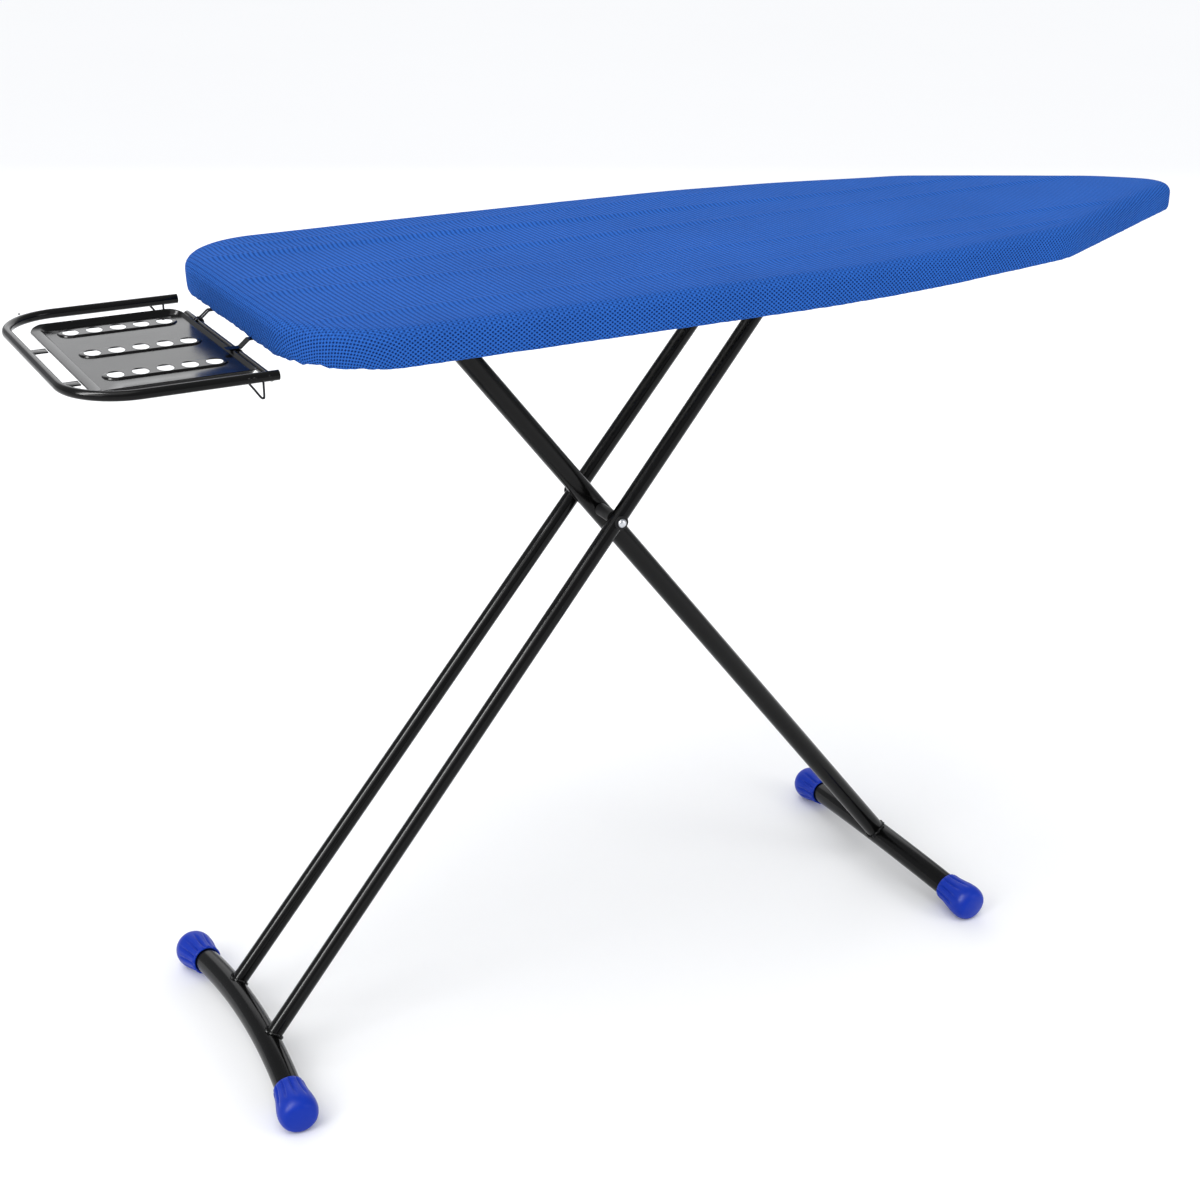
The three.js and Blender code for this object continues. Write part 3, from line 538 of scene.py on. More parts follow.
def mesh_piece(name, parts, slot, body, replaces=(), maker=None, crease=35):
    """Joins parts into one finished piece that rides on a body and stands for CAD nodes."""
    mesh = bpy.data.meshes.new(name)
    whole = bmesh.new()
    for part in parts:
        part.to_mesh(mesh)
        whole.from_mesh(mesh)
        part.free()
    whole.to_mesh(mesh)
    whole.free()
    mesh.shade_smooth()
    mesh.set_sharp_from_angle(angle=math.radians(crease))
    mesh.materials.append(finish(maker or FINISH_OF_SLOT[slot]))
    piece = bpy.data.objects.new(name, mesh)
    bpy.context.scene.collection.objects.link(piece)
    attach(piece, body)
    if replaces:
        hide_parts(*replaces)
    return piece


def refinish(nodes, slot):
    """Gives CAD nodes that keep their own shape the finish of a slot."""
    for node in nodes:
        for holder in frame["nodes"][node].material_slots:
            holder.material = finish(FINISH_OF_SLOT[slot])


# ---------------------------------------------------------------- the board's outline

def corners():
    """The outline's corners, counter-clockwise from the square end's near one, each with its rounding."""
    cover = settings().cover
    near = [(COVER_LOW.x, COVER_LOW.y, cover.tail_rounding),
            (cover.taper_at, COVER_LOW.y, cover.taper_rounding),
            (cover.swell_at, -cover.swell_half, cover.swell_rounding),
            (COVER_HIGH.x, -cover.nose_half, cover.nose_rounding)]
    return near + [(x, -y, rounding) for x, y, rounding in reversed(near)]


def edge_facing(a, b):
    """The direction, as an angle, that the outline's edge between two corners faces."""
    return math.atan2(b[1] - a[1], b[0] - a[0]) - math.pi / 2


def outline(inset, spacing=4.5 * MM, finest=math.radians(5)):
    """Points round the board, inset by a margin; their number doesn't depend on the margin."""
    ring, points = corners(), []
    for i, corner in enumerate(ring):
        start = edge_facing(ring[i - 1], corner)
        turn = (edge_facing(corner, ring[(i + 1) % len(ring)]) - start) % (2 * math.pi)
        middle, (x, y, rounding) = start + turn / 2, corner
        back = rounding / math.cos(turn / 2)
        centre = Vector((x - back * math.cos(middle), y - back * math.sin(middle), 0))
        steps = max(math.ceil(rounding * turn / spacing), math.ceil(turn / finest))
        arc = [centre + (rounding - inset) * Vector((math.cos(start + turn * k / steps),
                                                     math.sin(start + turn * k / steps), 0))
               for k in range(steps + 1)]
        if points:
            straight = round((arc[0] - points[-1]).length / spacing)
            points += [points[-1].lerp(arc[0], k / straight) for k in range(1, straight)]
        points += arc
    straight = round((points[0] - points[-1]).length / spacing)
    return points + [points[-1].lerp(points[0], k / straight) for k in range(1, straight)]


def spine(point):
    """The point of the board's middle line that a point of the outline shrinks towards."""
    low, high = COVER_LOW.x + 190 * MM, COVER_HIGH.x - 150 * MM
    return Vector((min(max(point.x, low), high), 0, 0))


def hashed(seed, value):
    """A smooth random number from -1 to 1 along a line."""
    return noise.noise(Vector((value, seed * 7.31, seed * 3.17)))


# ---------------------------------------------------------------- cover

HEM_SAG = 1.2 * MM        # how far the hem hangs below its CAD solid
DROOP_LENGTH = 95 * MM    # length of the nose over which the padding thins
CREASE_WIDTH = 7 * MM
TOP_SLACK = 0.9 * MM      # unevenness of the top over a thin pad
EDGE_SWAY = 0.9 * MM      # unevenness of the edge, in and out and up and down
GATHER_REACH = 22 * MM    # how far the gathers reach up the side band
GATHERED, FADING = 80 * MM, 50 * MM    # length of the square end with deep gathers, and where they fade
ELSEWHERE = 0.14          # share of the gathers' depth along the sides and the nose
TOP_RINGS = 76            # rings from the shoulder in to the board's middle line
# Packing creases: the y where each crosses x = 0, its slope, and its share of the full height.
CREASES = ((-0.150, 0.020, 0.9), (-0.062, -0.045, 0.7), (0.038, 0.030, 1.0), (0.118, -0.018, 1.0),
           (0.176, 0.010, 0.6))


def top_relief(x, y):
    """Height of the cover's top over its plane: long creases, and the slack of a thin pad."""
    cover = settings().cover
    height = TOP_SLACK * noise.noise(Vector((x * 4.5, y * 7.0, 0.3)))
    for i, (offset, slope, share) in enumerate(CREASES):
        line = offset + slope * x + 0.006 * hashed(i + 1, x * 3.0)
        fade = 0.35 + 0.65 * max(0.0, hashed(i + 11, x * 2.6) + 0.35)
        height += share * fade * cover.crease * math.exp(-((y - line) / CREASE_WIDTH) ** 2)
    return height


def nose_droop(x):
    """How far the top lies below its plane towards the tip of the nose."""
    share = max(0.0, (x - (COVER_HIGH.x - DROOP_LENGTH)) / DROOP_LENGTH)
    return settings().cover.nose_drop * share ** 1.6


def cover_profile():
    """The cover's edge in section, from hem to top: inset, height over the hem, how far it is pulled."""
    cover = settings().cover
    depth, shoulder = COVER_HIGH.z - COVER_LOW.z + HEM_SAG, cover.shoulder
    section = [(cover.hem, 1.6 * MM, 0.6), (cover.hem * 0.8, 0.7 * MM, 0.7), (cover.hem * 0.5, 0.0, 0.8),
               (cover.hem * 0.22, 0.5 * MM, 1.0), (1.8 * MM, 2.4 * MM, 1.0), (0.4 * MM, 6 * MM, 1.0),
               (0.0, 11 * MM, 1.0), (0.0, 17 * MM, 1.0), (0.0, depth - shoulder, 1.0)]
    for i in range(1, 7):
        angle = math.pi / 2 * i / 6
        section.append((shoulder * (1 - math.cos(angle)), depth - shoulder * (1 - math.sin(angle)),
                        1 - 0.5 * i / 6))
    return section


def cover_rings():
    """Rings from the hem, up the side band, over the shoulder and in to the middle line, with for each
    point its place on the flat cloth and how far the cloth is pulled open there."""
    cover = settings().cover
    edge = outline(0)
    travelled, out = [0.0], []
    for i, point in enumerate(edge):
        after = edge[(i + 1) % len(edge)]
        tangent = (after - edge[i - 1]).normalized()
        out.append(Vector((tangent.y, -tangent.x, 0)))
        travelled.append(travelled[-1] + (after - point).length)
    profile = cover_profile()
    spots = [Vector((inset, rise)) for inset, rise, _ in profile]
    run = sum((b - a).length for a, b in zip(spots, spots[1:]))
    top_rise = spots[-1].y
    rings = []
    for k, (inset, rise, pulled) in enumerate(profile):
        if k:
            run -= (spots[k] - spots[k - 1]).length
        low = max(0.0, 1 - rise / GATHER_REACH) ** 1.5
        ring = []
        for point, at, outwards, origin in zip(outline(inset), travelled, out, edge):
            square_end = max(0.0, min(1.0, (COVER_LOW.x + GATHERED - origin.x) / FADING))
            gathers = at / cover.gather_pitch
            pucker = hashed(3, gathers * 1.9) + 0.5 * hashed(5, gathers * 4.1)
            strength = cover.gather * (ELSEWHERE + (1 - ELSEWHERE) * square_end) * low
            fold = hashed(8, at * 22 + rise * 26) * (0.3 + 0.7 * square_end) * min(1.0, rise / (6 * MM))
            sway = hashed(9, at * 7.0) * EDGE_SWAY
            lift = strength * (0.6 + pucker) + sway * rise / top_rise
            height = COVER_LOW.z - HEM_SAG + rise + lift - nose_droop(point.x) * rise / top_rise
            shift = outwards * (fold * 1.1 * MM + strength * pucker * 0.5 + sway * 0.5)
            ring.append((Vector((point.x, point.y, height)) + shift,
                         origin + outwards * (run - cover.shoulder), pulled))
        rings.append(ring)
    rim = outline(cover.shoulder)
    slack = [place.z - COVER_HIGH.z + nose_droop(place.x) for place, _, _ in rings[-1]]
    for k in range(1, TOP_RINGS + 1):
        ring = []
        for point, lift in zip(rim, slack):
            here = spine(point).lerp(point, 1 - k / TOP_RINGS)
            rise = top_relief(here.x, here.y) * min(1.0, k / 8) + lift * max(0.0, 1 - k / 12)
            inwards = (here - point).length
            ring.append((Vector((here.x, here.y, COVER_HIGH.z + rise - nose_droop(here.x))), here,
                         0.5 * math.exp(-inwards / (14 * MM))))
        rings.append(ring)
    return rings


def make_cover():
    """The stretched cover, with its cloth laid out flat in its own coordinates."""
    rings = cover_rings()
    bm = bmesh.new()
    flat_of = bm.verts.layers.float_vector.new("flat")
    pulled_of = bm.verts.layers.float.new("pulled")
    cloth = bm.loops.layers.uv.new("cloth")
    loops = loft(bm, [[place for place, _, _ in ring] for ring in rings])
    for loop, ring in zip(loops, rings):
        for vert, (_, flat, pulled) in zip(loop, ring):
            vert[flat_of], vert[pulled_of] = flat, pulled
    bmesh.ops.remove_doubles(bm, verts=bm.verts, dist=0.2 * MM)
    bmesh.ops.recalc_face_normals(bm, faces=bm.faces)
    for face in bm.faces:
        for corner in face.loops:
            corner[cloth].uv = corner.vert[flat_of].xy
    piece = mesh_piece("stretched_cover", [bm], "cover_mesh", "board", ["cover"], crease=180)
    turned = COVER_HIGH.z - COVER_LOW.z + settings().cover.hem
    flat = (2 * (COVER_HIGH.y + turned), COVER_HIGH.x - COVER_LOW.x + 2 * turned)


def make_hem():
    """The bound hem that the elastic runs in, puckered all round."""
    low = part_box("hem_elastic")[0].z
    # Round the binding's section, in mm: inset from the cover's edge and rise over its own underside.
    section = ((16.4, 0.6), (18.6, 0.0), (20.6, 1.2), (21.0, 3.4), (19.4, 5.2), (17.0, 4.6))
    rings = []
    for inset, rise in section:
        ring = []
        for i, point in enumerate(outline(inset * MM)):
            pucker = hashed(21, i * 0.55) + 0.5 * hashed(22, i * 1.3)
            ring.append(point + Z_AXIS * (low + rise * MM + 0.5 * MM * pucker))
        rings.append(ring)
    bm = bmesh.new()
    loft(bm, rings, closed_section=True)
    bmesh.ops.recalc_face_normals(bm, faces=bm.faces)
    mesh_piece("hem_binding", [bm], "elastic", "board", ["hem_elastic"], crease=180)


def make_pad():
    """A sheet of foam cut to the board, soft at its edge."""
    low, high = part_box("pad")
    inset, thick = COVER_HIGH.y - high.y, high.z - low.z
    coarse = {"spacing": 20 * MM, "finest": math.radians(10)}
    # Up the foam's edge: inset in mm from the pad's CAD edge, and share of its thickness.
    section = [(5.4, 0.0), (4.2, 0.2), (4.6, 0.45), (7.0, 0.72), (11.0, 0.86)]
    steps = 18    # rings from the edge in to the middle line

    def at(point, share):
        """A point of the foam over the outline, at a share of its thickness."""
        return point + Z_AXIS * (low.z + share * (thick - nose_droop(point.x)))

    def inward(extra, share, k):
        """A ring of the foam's face, shrunk towards the middle line."""
        return [at(spine(point).lerp(point, k / steps), share)
                for point in outline(inset + extra * MM, **coarse)]

    edge = [[at(point, share) for point in outline(inset + extra * MM, **coarse)]
            for extra, share in section]
    under = [inward(*section[0], k) for k in range(steps)]
    over = [inward(*section[-1], k) for k in reversed(range(steps))]
    bm = bmesh.new()
    loft(bm, under + edge + over)
    bmesh.ops.remove_doubles(bm, verts=bm.verts, dist=0.2 * MM)
    bmesh.ops.recalc_face_normals(bm, faces=bm.faces)
    piece = mesh_piece("pad_foam_sheet", [bm], "pad_foam", "board", ["pad"], crease=180)


# ---------------------------------------------------------------- deck and ironwork

def make_deck():
    """Expanded steel mesh: a field of diamonds, each opened by an inset, trimmed to the board."""
    deck = settings().deck
    low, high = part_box("deck_panel")
    margin, band = COVER_HIGH.y - high.y, 16 * MM
    wide, tall = deck.opening_along / 2, deck.opening_across / 2
    columns = math.ceil((high.x - low.x) / deck.opening_along) + 1
    rows = math.ceil((high.y - low.y) / deck.opening_across) + 1
    span = {}
    for point in outline(margin + 6 * MM):
        key = round(point.x / wide)
        span[key] = max(span.get(key, 0.0), abs(point.y))
    bm = bmesh.new()
    for stagger in (0, 1):
        for i in range(columns):
            x = low.x + (2 * i + stagger) * wide
            reach = min(span.get(round(x / wide) + beside, 0.0) for beside in (-1, 0, 1))
            for j in range(-rows // 2, rows // 2 + 1):
                y = (2 * j + stagger) * tall
                if abs(y) + tall > reach or not low.x + wide < x < high.x - wide:
                    continue
                diamond = Matrix.Translation((x, y, high.z)) @ Matrix.Diagonal((wide, tall, 1, 1))
                bmesh.ops.create_circle(bm, cap_ends=True, segments=4, radius=1, matrix=diamond)
    bmesh.ops.remove_doubles(bm, verts=bm.verts, dist=0.1 * MM)
    openings = list(bm.faces)
    bmesh.ops.inset_individual(bm, faces=openings, thickness=deck.strand / 2, use_even_offset=True)
    bmesh.ops.delete(bm, geom=openings, context="FACES")
    bmesh.ops.recalc_face_normals(bm, faces=bm.faces)
    bmesh.ops.solidify(bm, geom=bm.faces, thickness=high.z - low.z)
    rim = bmesh.new()
    section = ((margin, low.z), (margin, high.z), (margin + band, high.z), (margin + band, low.z))
    rings = [[point + Z_AXIS * z for point in outline(inset)] for inset, z in section]
    loft(rim, rings, closed_section=True)
    bmesh.ops.recalc_face_normals(rim, faces=rim.faces)
    mesh_piece("expanded_mesh_deck", [bm, rim], "deck_paint", "board", ["deck_panel"])


def channel_across(node):
    """A pressed channel across the board, open upwards, with a stiffening groove."""
    low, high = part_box(node)
    half, rise = settings().deck.sheet / 2, 3 * MM
    middle, base = (low.x + high.x) / 2, low.z + half
    section = [(low.x + half, high.z), (low.x + half, base), (middle - 5 * MM, base),
               (middle - 3 * MM, base + rise), (middle + 3 * MM, base + rise), (middle + 5 * MM, base),
               (high.x - half, base), (high.x - half, high.z)]
    points = [Vector((x, low.y, z)) for x, z in section]
    return ribbon(points, Y_AXIS * (high.y - low.y), half * 1.8)


def slide_rail(node, side):
    """A C-section rail, open towards the middle of the board, with rolled corners."""
    low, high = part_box(node)
    half = settings().deck.sheet / 2
    outer = high.y - half if side > 0 else low.y + half
    inner = low.y if side > 0 else high.y
    roll = 2.5 * MM
    bottom, top, turn = low.z + half, high.z - half, outer - side * roll
    section = [(inner, bottom), (turn, bottom), (outer, bottom + roll),
               (outer, top - roll), (turn, top), (inner, top)]
    points = [Vector((low.x, y, z)) for y, z in section]
    return ribbon(points, X_AXIS * (high.x - low.x), half * 1.8)


def make_ironwork():
    """Braces and slide rails under the deck; rack, leg bracket and skirt keep their CAD shape."""
    for end in ("tail", "middle", "nose"):
        node = f"brace_{end}"
        mesh_piece(f"{end}_brace", [channel_across(node)], "deck_paint", "board", [node])
    for side, name in ((-1, "near"), (1, "far")):
        rail = slide_rail(f"slide_rail_{name}", side)
        mesh_piece(f"{name}_slide_rail", [rail], "zinc_plate", "board", [f"slide_rail_{name}"])
    refinish(["height_rack", "leg_bracket"], "zinc_plate")
    refinish(["deck_skirt"], "deck_paint")


# ---------------------------------------------------------------- pins, rivets and collars

PIN_SHANK, PIN_BORE = 4 * MM, 4.3 * MM
HEAD_RISE, HEAD_BRIM = 3.2 * MM, 0.6 * MM


def headed_pin(node, head):
    """A pin with a domed head at each end, as long as its node."""
    low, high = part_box(node)
    centre, half = (low + high) / 2, (high.y - low.y) / 2
    brim = half - HEAD_RISE
    dome = [(head * math.cos(a), brim + HEAD_RISE * math.sin(a))
            for a in (math.pi / 2 * i / 8 for i in range(9))]
    dome[-1] = (0.0, half)
    lower = [(0.0 if i == 0 else radius, -height) for i, (radius, height) in enumerate(reversed(dome))]
    under = brim - HEAD_BRIM
    profile = [*lower, (head, -under), (PIN_SHANK, -under), (PIN_SHANK, under), (head, under), *dome]
    return lathe(profile, facing(centre, Y_AXIS), 40)


def collar(node):
    """A washer, spacer or bush that fills its node along Y."""
    low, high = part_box(node)
    outer, half = (high.x - low.x) / 2, (high.y - low.y) / 2
    return lathe(ring_profile(PIN_BORE, outer, -half, half), facing((low + high) / 2, Y_AXIS), 40)


def make_crossing():
    """Everything on the crossing rivet and on the hinge pin."""
    mesh_piece("crossing_rivet", [headed_pin("pivot_rivet", 5.2 * MM)], "zinc_plate", "outer_leg",
               ["pivot_rivet"])
    for side in ("near", "far"):
        for kind in ("washer", "spacer"):
            node = f"pivot_{kind}_{side}"
            mesh_piece(f"crossing_{kind}_{side}", [collar(node)], "nylon", "outer_leg", [node])
    mesh_piece("leg_hinge_pin", [headed_pin("hinge_pin", 7 * MM)], "zinc_plate", "board", ["hinge_pin"])
    mesh_piece("leg_hinge_bush", [collar("inner_leg_bush")], "black_paint", "inner_leg",
               ["inner_leg_bush"])


# ---------------------------------------------------------------- legs and feet

def foot_of(node, top):
    """The middle of a foot tube and the direction up its leg, from the tube's box and the leg's top."""
    radius = settings().legs.foot_tube / 2
    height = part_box(node)[1].z - radius
    up_leg = (top - PIVOT).normalized()
    return PIVOT - up_leg * (PIVOT.z - height) / up_leg.z, up_leg


def foot_bend():
    """The radius of a foot tube's arch, and the angle from its middle to the rim of a cap."""
    legs = settings().legs
    radius = (legs.foot_half ** 2 + legs.foot_arch ** 2) / (2 * legs.foot_arch)
    return radius, math.asin(legs.foot_half / radius)


def foot_point(middle, up_leg, run):
    """A point on a foot tube's centre line, a distance from its middle; it ends straight in the caps."""
    radius, bend = foot_bend()
    angle = max(-bend, min(bend, run / radius))
    past = max(0.0, abs(run) - radius * bend)
    along = radius * math.sin(angle) + math.copysign(past * math.cos(bend), run)
    drop = radius * (1 - math.cos(angle)) + past * math.sin(bend)
    return middle - up_leg * drop + Y_AXIS * along


def weld_bead(centre, up_leg, tube_radius, foot_radius):
    """A bead of weld where a leg tube meets the side of its foot tube."""
    thick = settings().legs.bead / 2
    bm = bmesh.new()
    ring = bmesh.ops.create_circle(
        bm, segments=10, radius=thick,
        matrix=Matrix.Translation((tube_radius, 0, 0)) @ Matrix.Rotation(math.pi / 2, 4, "X"))["verts"]
    edges = edges_at(ring)
    bmesh.ops.spin(bm, geom=ring + edges, cent=(0, 0, 0), axis=Z_AXIS, angle=2 * math.pi, steps=64,
                   use_merge=True)
    bmesh.ops.remove_doubles(bm, verts=bm.verts, dist=1e-6)
    for vert in bm.verts:
        angle = math.atan2(vert.co.y, vert.co.x)
        ripple = 1 + 0.22 * math.sin(angle * 17) + 0.35 * noise.noise(vert.co * 320)
        away = Vector((vert.co.x, vert.co.y, 0)).normalized()
        spot = away * tube_radius
        vert.co = spot + (vert.co - spot) * ripple
        vert.co.z += math.sqrt(max(foot_radius ** 2 - (tube_radius * math.sin(angle)) ** 2, 0.0))
    bmesh.ops.recalc_face_normals(bm, faces=bm.faces)
    across = up_leg.cross(Y_AXIS)
    turn = Matrix((Y_AXIS, across, up_leg)).transposed().to_4x4()
    bm.transform(Matrix.Translation(centre) @ turn)
    return bm


FLUTES = 12    # narrow flutes round a cap


def foot_cap(middle, up_leg, side):
    """A flared plug-on cap: fluted up to its widest part, round shoulder, flat end, worn flat below."""
    legs = settings().legs
    radius, bend = foot_bend()
    arc = radius * bend
    rim = foot_point(middle, up_leg, side * arc)
    end = foot_point(middle, up_leg, side * (arc + legs.cap_length))
    bore, wide, long = legs.foot_tube / 2 + 0.5 * MM, legs.cap_radius, legs.cap_length
    deep, widest, rounding = long * 0.48, long * 0.7, 8.5 * MM
    lip, lip_height = bore + 2.9 * MM, 4 * MM
    profile = [(0.0, deep), (bore, deep), (bore, 0.6 * MM), (bore + 0.5 * MM, 0.0),
               (bore + 1.7 * MM, 0.0), (bore + 2.4 * MM, 0.7 * MM), (lip, lip_height)]
    for step in range(1, 9):
        share = step / 8
        ease = share * share * (3 - 2 * share)
        profile.append((lip + (wide - lip) * ease, lip_height + share * (widest - lip_height)))
    for step in range(1, 11):
        angle = math.pi / 2 * step / 10
        profile.append((wide - rounding * (1 - math.cos(angle)), widest + long * 0.28 * math.sin(angle)))
    profile += [(wide - rounding - 2 * MM, long * 0.992), (0.0, long)]
    bm = lathe(profile, Matrix.Identity(4), 180)
    for vert in bm.verts:
        reach = vert.co.xy.length
        if reach < bore + 1.2 * MM:
            continue
        start = min(1.0, vert.co.z / (1.5 * MM))
        stop = max(0.0, min(1.0, (long * 0.66 - vert.co.z) / (9 * MM)))
        groove = abs(math.cos(FLUTES / 2 * math.atan2(vert.co.y, vert.co.x))) ** 9
        depth = legs.flute * groove * start * stop
        vert.co.xy *= (reach - depth) / reach
    bm.transform(facing(rim, end - rim))
    cut = bmesh.ops.bisect_plane(bm, geom=[*bm.verts, *bm.edges, *bm.faces], plane_co=(0, 0, 0),
                                 plane_no=(0, 0, -1), clear_outer=True)
    edges = [item for item in cut["geom_cut"] if isinstance(item, bmesh.types.BMEdge)]
    bmesh.ops.edgeloop_fill(bm, edges=edges)
    return bm


def make_leg(body, prefix, top, spreads):
    """One leg: its foot tube, caps, leg tubes and the welds between them."""
    legs = settings().legs
    middle, up_leg = foot_of(f"{prefix}_foot_tube", top)
    radius = legs.foot_tube / 2
    reach = legs.foot_half + 20 * MM
    foot_line = [foot_point(middle, up_leg, reach * i / 24) for i in range(-24, 25)]
    mesh_piece(f"{prefix}_foot", [sweep(foot_line, radius, 48)], "black_paint", body,
               [f"{prefix}_foot_tube"])
    for side, name in ((-1, "near"), (1, "far")):
        mesh_piece(f"{prefix}_cap_{name}", [foot_cap(middle, up_leg, side)], "blue_plastic", body,
                   [f"{prefix}_foot_cap_{name}"], crease=50)
    tube_radius = (legs.outer_tube if len(spreads) > 1 else legs.inner_tube) / 2
    for name, (node, at_foot, at_top) in spreads.items():
        start = foot_point(middle, up_leg, at_foot)
        end = top + Y_AXIS * at_top
        axis = (end - start).normalized()
        tube = sweep([start + axis * 4 * MM, start.lerp(end, 0.5), end], tube_radius, 40)
        mesh_piece(name, [tube], "black_paint", body, [node])
        bead = weld_bead(start, axis, tube_radius, radius)
        mesh_piece(f"{name}_weld", [bead], "black_paint", body)


def outer_spread(node):
    """How far from the middle an outer leg tube starts at its foot and ends at its top."""
    low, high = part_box(node)
    radius = settings().legs.outer_tube / 2
    if low.y < 0:
        return low.y + radius, high.y - radius
    return high.y - radius, low.y + radius


def make_legs():
    """Both legs and the bar that joins the outer tubes at their top."""
    outer = {f"outer_tube_{side}": (f"outer_leg_tube_{side}", *outer_spread(f"outer_leg_tube_{side}"))
             for side in ("near", "far")}
    make_leg("outer_leg", "outer_leg", SLIDE, outer)
    make_leg("inner_leg", "inner_leg", HINGE, {"inner_tube": ("inner_leg_tube", 0.0, 0.0)})
    low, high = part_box("outer_leg_slide_bar")
    ends = [Vector((SLIDE.x, y, SLIDE.z)) for y in (low.y, 0.0, high.y)]
    bar = sweep(ends, (high.z - low.z) / 2, 32, wall=1 * MM)
    mesh_piece("slide_bar", [bar], "black_paint", "outer_leg", ["outer_leg_slide_bar"])


# ---------------------------------------------------------------- sliding carriage and latch

LEVER_ROD = 3 * MM
GRIP_GROOVES, GROOVE_DEPTH = 5, 1.1 * MM


def make_carriage():
    """Nylon shoes, the strap between them, and the latch lever with its moulded grip."""
    for side in ("near", "far"):
        low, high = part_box(f"slide_shoe_{side}")
        shoe = block(low, high, 1.6 * MM, 3)
        ribs = [block(Vector((x - 1 * MM, low.y + 2 * MM, low.z - 0.6 * MM)),
                      Vector((x + 1 * MM, high.y - 2 * MM, low.z + 2 * MM)), 0.5 * MM)
                for x in (low.x + 6 * MM, high.x - 6 * MM)]
        mesh_piece(f"rail_shoe_{side}", [shoe, *ribs], "nylon", "carriage", [f"slide_shoe_{side}"])
    refinish(["latch_strap"], "zinc_plate")
    low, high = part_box("latch_pin")
    line = [Vector((x, LATCH.y, LATCH.z)) for x in (low.x, LATCH.x, high.x)]
    mesh_piece("lever_pin", [sweep(line, (high.z - low.z) / 2, 24)], "zinc_plate", "carriage",
               ["latch_pin"])

    low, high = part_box("latch_lever")
    path = through([Vector((LATCH.x, 0, high.z)), Vector((LATCH.x, 0, LATCH.z + 16 * MM)),
                    Vector((LATCH.x, 3 * MM, LATCH.z + 4 * MM)), Vector((LATCH.x, 12 * MM, LATCH.z)),
                    Vector((LATCH.x, 40 * MM, LATCH.z))])
    path += [LATCH, Vector((LATCH.x, high.y, LATCH.z))]
    boss = lathe(ring_profile(2.7 * MM, 5.4 * MM, -4 * MM, 4 * MM), facing(LATCH, X_AXIS), 32)
    mesh_piece("lever_rod", [sweep(path, LEVER_ROD, 20), boss], "black_paint", "latch", ["latch_lever"])

    low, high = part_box("latch_grip")
    long, wide = high.y - low.y, (high.z - low.z) / 2
    profile = [(0.0, 0.0), (wide * 0.7, 0.0), (wide * 0.9, 1.5 * MM)]
    for i in range(1, 41):
        share = i / 41
        swell = GROOVE_DEPTH * abs(math.sin(math.pi * GRIP_GROOVES * share)) ** 1.6
        profile.append((wide - GROOVE_DEPTH + swell, 3 * MM + share * (long - 9 * MM)))
    profile += [(wide * 0.96, long - 4 * MM), (wide * 0.75, long - 1.2 * MM),
                (wide * 0.4, long - 0.2 * MM), (0.0, long)]
    start = Vector((LATCH.x, low.y, LATCH.z))
    grip = lathe(profile, facing(start, Y_AXIS), 40)
    mesh_piece("lever_grip", [grip], "nylon", "latch", ["latch_grip"])


# ---------------------------------------------------------------- iron rest

def rest_line():
    """The centre line of the rest's tube: near rail, rounded front, far rail."""
    rest = settings().rest
    low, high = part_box("rest_frame")
    z, radius = (low.z + high.z) / 2, rest.tube / 2
    front, half, corner = low.x + radius, high.y - radius, rest.corner
    pull = corner * 0.45

    def bend(side, forwards):
        """A rounded corner, from rail to front or back again."""
        rail, nose = Vector((front + corner, side * half, z)), Vector((front, side * (half - corner), z))
        rail_pull = Vector((front + pull, side * half, z))
        nose_pull = Vector((front, side * (half - pull), z))
        order = (rail, rail_pull, nose_pull, nose) if forwards else (nose, nose_pull, rail_pull, rail)
        return [Vector(point) for point in geometry.interpolate_bezier(*order, 18)]

    near = [Vector((high.x, -half, z)), Vector(((high.x + front + corner) / 2, -half, z))]
    far = [Vector(((high.x + front + corner) / 2, half, z)), Vector((high.x, half, z))]
    return near + bend(-1, True) + [Vector((front, 0, z))] + bend(1, False) + far


def rivet_dome(point, direction, radius):
    """A small domed mark standing on a surface."""
    rise = radius * 0.6
    dome = [(radius * math.cos(a), rise * math.sin(a)) for a in (math.pi / 2 * i / 5 for i in range(5))]
    profile = [(0.0, -radius * 0.5), (radius, -radius * 0.5), *dome, (0.0, rise)]
    return lathe(profile, facing(point, direction), 20)


def make_rest_frame():
    """The bent tube of the rest with pressed marks near its ends."""
    rest = settings().rest
    low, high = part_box("rest_frame")
    radius = rest.tube / 2
    z = (low.z + high.z) / 2
    tube = sweep(rest_line(), radius, 32, wall=1 * MM)
    out = Vector((0, -1, 0.25)).normalized()
    marks = [rivet_dome(Vector((high.x - back * MM, low.y + radius, z)) + out * (radius - 0.2 * MM),
                        out, 1.5 * MM)
             for back in (10, 25, 30)]
    top_mark = rivet_dome(Vector((low.x + 30 * MM, high.y - radius - 4 * MM, z + radius - 0.4 * MM)),
                          Z_AXIS, 1.2 * MM)
    mesh_piece("rest_tube", [tube, *marks, top_mark], "black_paint", "iron_rest", ["rest_frame"])


